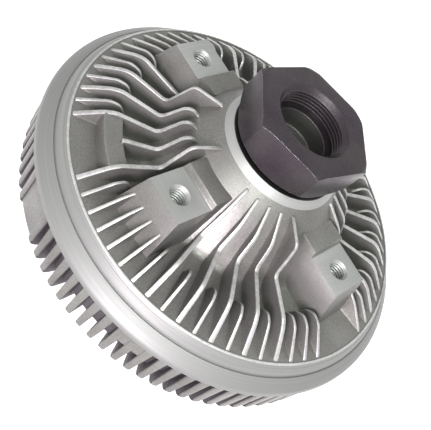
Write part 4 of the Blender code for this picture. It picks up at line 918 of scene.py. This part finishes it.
# The hexagon's edges are bevelled and the bevels take the light steel: wear and painted highlight.
edged = bmesh.new()
edged.from_mesh(shaft.data)
bmesh.ops.dissolve_limit(edged, angle_limit=0.2 * DEG, verts=edged.verts, edges=edged.edges)
rim = [
    edge
    for edge in edged.edges
    if edge.calc_face_angle(0.0) > 20.0 * DEG
    and min(math.hypot(vert.co.x, vert.co.y) for vert in edge.verts) > 20.0 * MM
]
wear_and_highlight_bevels = bmesh.ops.bevel(
    edged,
    geom=rim,
    offset=0.35 * MM,
    offset_type="OFFSET",
    segments=2,
    profile=0.5,
    affect="EDGES",
    material=-1,
    clamp_overlap=True,
)
for face in wear_and_highlight_bevels["faces"]:
    face.material_index = EDGE_WEAR_AND_HIGHLIGHT
edged.to_mesh(shaft.data)
edged.free()
finished(shaft, "shaft", ["shaft_nut"], sharp=22.0)

# Thermostat coil: a flat bimetal strip wound on edge round the valve's shaft, that turns
# the valve as the air from the radiator warms it. A forked sheet post and a screw hold it.
COIL_TURNS = 3.25
COIL_INNER = 4.4
COIL_OUTER = 25.0
COIL_END_ANGLE = 150.0
COIL_TOP = -19.4
COIL_BOTTOM = -25.6
COIL_RUNS = 36
COIL_POINTS_A_RUN = 6
POST_OUTLINE = [
    (21.76, -25.6, 0.3),
    (22.86, -25.6, 0.3),
    (22.86, -19.1, 0.3),
    (24.60, -19.1, 0.3),
    (24.60, -25.6, 0.3),
    (25.70, -25.6, 0.3),
    (25.70, -19.3, 0.3),
    (32.70, -19.3, 0.3),
    (32.70, -18.02, 0.3),
    (21.76, -18.02, 0.3),
]
SCREW_DISTANCE = 29.2
SCREW = [
    (0.0, -16.0, 0.0),
    (1.5, -16.0, 0.0),
    (1.5, -19.32, 0.0),
    (2.6, -19.32, 0.15),
    (2.6, -21.0, 0.9),
    (0.0, -21.0, 0.0),
]
SCREW_HOLE = [(0.0, -17.5, 0.0), (1.55, -17.5, 0.0), (1.55, -20.0, 0.0), (0.0, -20.0, 0.0)]
PLATED_STEEL = skin_material(
    "plated_sheet", (0.48, 0.48, 0.47), (0.33, 0.33, 0.32), 0.38, 1200.0, 0.15, 1.0
)
COIL_STRIP = skin_material(
    "coil_strip", (0.42, 0.36, 0.28), (0.28, 0.23, 0.17), 0.36, 700.0, 0.15, 1.0
)


def coil_place(share):
    """Point of the strip's middle line, from its inner end at 0 to its outer end at 1."""
    radius = COIL_INNER + share * (COIL_OUTER - COIL_INNER)
    last_run = COIL_TURNS * 180.0 / COIL_RUNS
    angle = (COIL_END_ANGLE + last_run - (1.0 - share) * COIL_TURNS * 360.0) * DEG
    return Vector((radius * math.cos(angle), radius * math.sin(angle), 0.0)) * MM


strip = bmesh.new()
winding = (COIL_RUNS - 1) * COIL_POINTS_A_RUN
shares = [step / (COIL_RUNS * COIL_POINTS_A_RUN) for step in range(winding + 1)] + [1.0]
coil_level = Vector((0.0, 0.0, SPLIT_LEVEL + COIL_TOP * MM))
line = [strip.verts.new(coil_place(share) + coil_level) for share in shares]
edges = [strip.edges.new(pair) for pair in zip(line, line[1:])]
grown = bmesh.ops.extrude_edge_only(strip, edges=edges)["geom"]
lowered = [item for item in grown if isinstance(item, bmesh.types.BMVert)]
bmesh.ops.translate(strip, verts=lowered, vec=(0.0, 0.0, (COIL_BOTTOM - COIL_TOP) * MM))
bmesh.ops.recalc_face_normals(strip, faces=strip.faces)
coil = scene_object("thermostat_coil", strip, [COIL_STRIP])
thick = coil.modifiers.new("strip", "SOLIDIFY")
thick.thickness = 0.9 * MM
thick.offset = 0.0
thick.use_even_offset = True
blunt = coil.modifiers.new("blunt_edges", "BEVEL")
blunt.width = 0.12 * MM
blunt.segments = 2
blunt.limit_method = "ANGLE"
blunt.angle_limit = 60.0 * DEG
carved(coil, [])
finished(coil, "housing", ["bimetal_coil"])

hole = turned(SCREW_HOLE, 32)
bmesh.ops.translate(hole, verts=hole.verts, vec=(SCREW_DISTANCE * MM, 0.0, 0.0))
post = scene_object("coil_post", standing_plate(POST_OUTLINE, 2.6, 0.25), [PLATED_STEEL])
carved(post, [("DIFFERENCE", hole)])
post_turn = Matrix.Rotation(COIL_END_ANGLE * DEG, 4, "Z")
post.data.transform(post_turn)
finished(post, "housing", ["coil_bracket"])

screw = scene_object("post_screw", turned(SCREW, 48), [PLATED_STEEL])
slots = []
for turn in (0.0, 90.0):
    slot = bmesh.new()
    bmesh.ops.create_cube(slot, size=1.0)
    bmesh.ops.scale(slot, verts=slot.verts, vec=(3.2 * MM, 0.7 * MM, 1.6 * MM))
    for vert in slot.verts:
        if vert.co.z > 0.0:
            vert.co.x *= 0.55
            vert.co.y *= 0.75
    bmesh.ops.translate(slot, verts=slot.verts, vec=(0.0, 0.0, SPLIT_LEVEL - 21.0 * MM))
    bmesh.ops.rotate(slot, verts=slot.verts, matrix=Matrix.Rotation((turn + 20.0) * DEG, 3, "Z"))
    slots.append(("DIFFERENCE", slot))
carved(screw, slots)
screw.data.transform(post_turn @ Matrix.Translation((SCREW_DISTANCE * MM, 0.0, 0.0)))
finished(screw, "housing", ["bracket_screw"])

# Valve shaft: a ground steel pin through the cover that carries the valve's arm inside.
VALVE_PIN = [
    (0.0, -8.0, 0.0),
    (3.0, -8.0, 0.3),
    (3.0, -26.0, 0.5),
    (0.0, -26.0, 0.0),
]
PIN_SLOT = (8.0, 1.1, 3.0)
PIN_SLOT_TURN = 35.0
BRIGHT_STEEL = skin_material(
    "bright_steel", (0.55, 0.56, 0.57), (0.40, 0.41, 0.42), 0.28, 1600.0, 0.1, 1.0
)
pin = scene_object("valve_pin", turned(VALVE_PIN, 64), [BRIGHT_STEEL])
groove = bmesh.new()
bmesh.ops.create_cube(groove, size=1.0)
bmesh.ops.scale(groove, verts=groove.verts, vec=Vector(PIN_SLOT) * MM)
bmesh.ops.rotate(groove, verts=groove.verts, matrix=Matrix.Rotation(PIN_SLOT_TURN * DEG, 3, "Z"))
bmesh.ops.translate(groove, verts=groove.verts, vec=(0.0, 0.0, SPLIT_LEVEL - 26.0 * MM))
carved(pin, [("DIFFERENCE", groove)])
finished(pin, "valve", ["valve_shaft"])

# The pieces that are closed in keep their CAD shape: rubber seals, the bearing with its
# plastic cage, the divider plate, the valve's arm and the rotor. Each of them takes the
# finish of its material slot.
CAGE_PLASTIC = skin_material(
    "cage_plastic", (0.10, 0.08, 0.06), (0.06, 0.05, 0.04), 0.55, 500.0, 0.1, 0.0
)
RUBBER = skin_material(
    "seal_rubber", (0.03, 0.03, 0.03), (0.018, 0.018, 0.018), 0.7, 800.0, 0.2, 0.0
)
FINISHES = {
    "cast_aluminium": CASTING,
    "pressed_aluminium": CASTING,
    "machined_steel": STEEL,
    "race_steel": BRIGHT_STEEL,
    "sheet_steel": PLATED_STEEL,
    "spring_bimetal": COIL_STRIP,
    "cage_polymer": CAGE_PLASTIC,
    "seal_rubber": RUBBER,
}
for part in frame["record"]["subparts"]:
    kept = frame["nodes"][part["node"]]
    kept.data.materials.clear()
    kept.data.materials.append(FINISHES[part["material_slot"]])
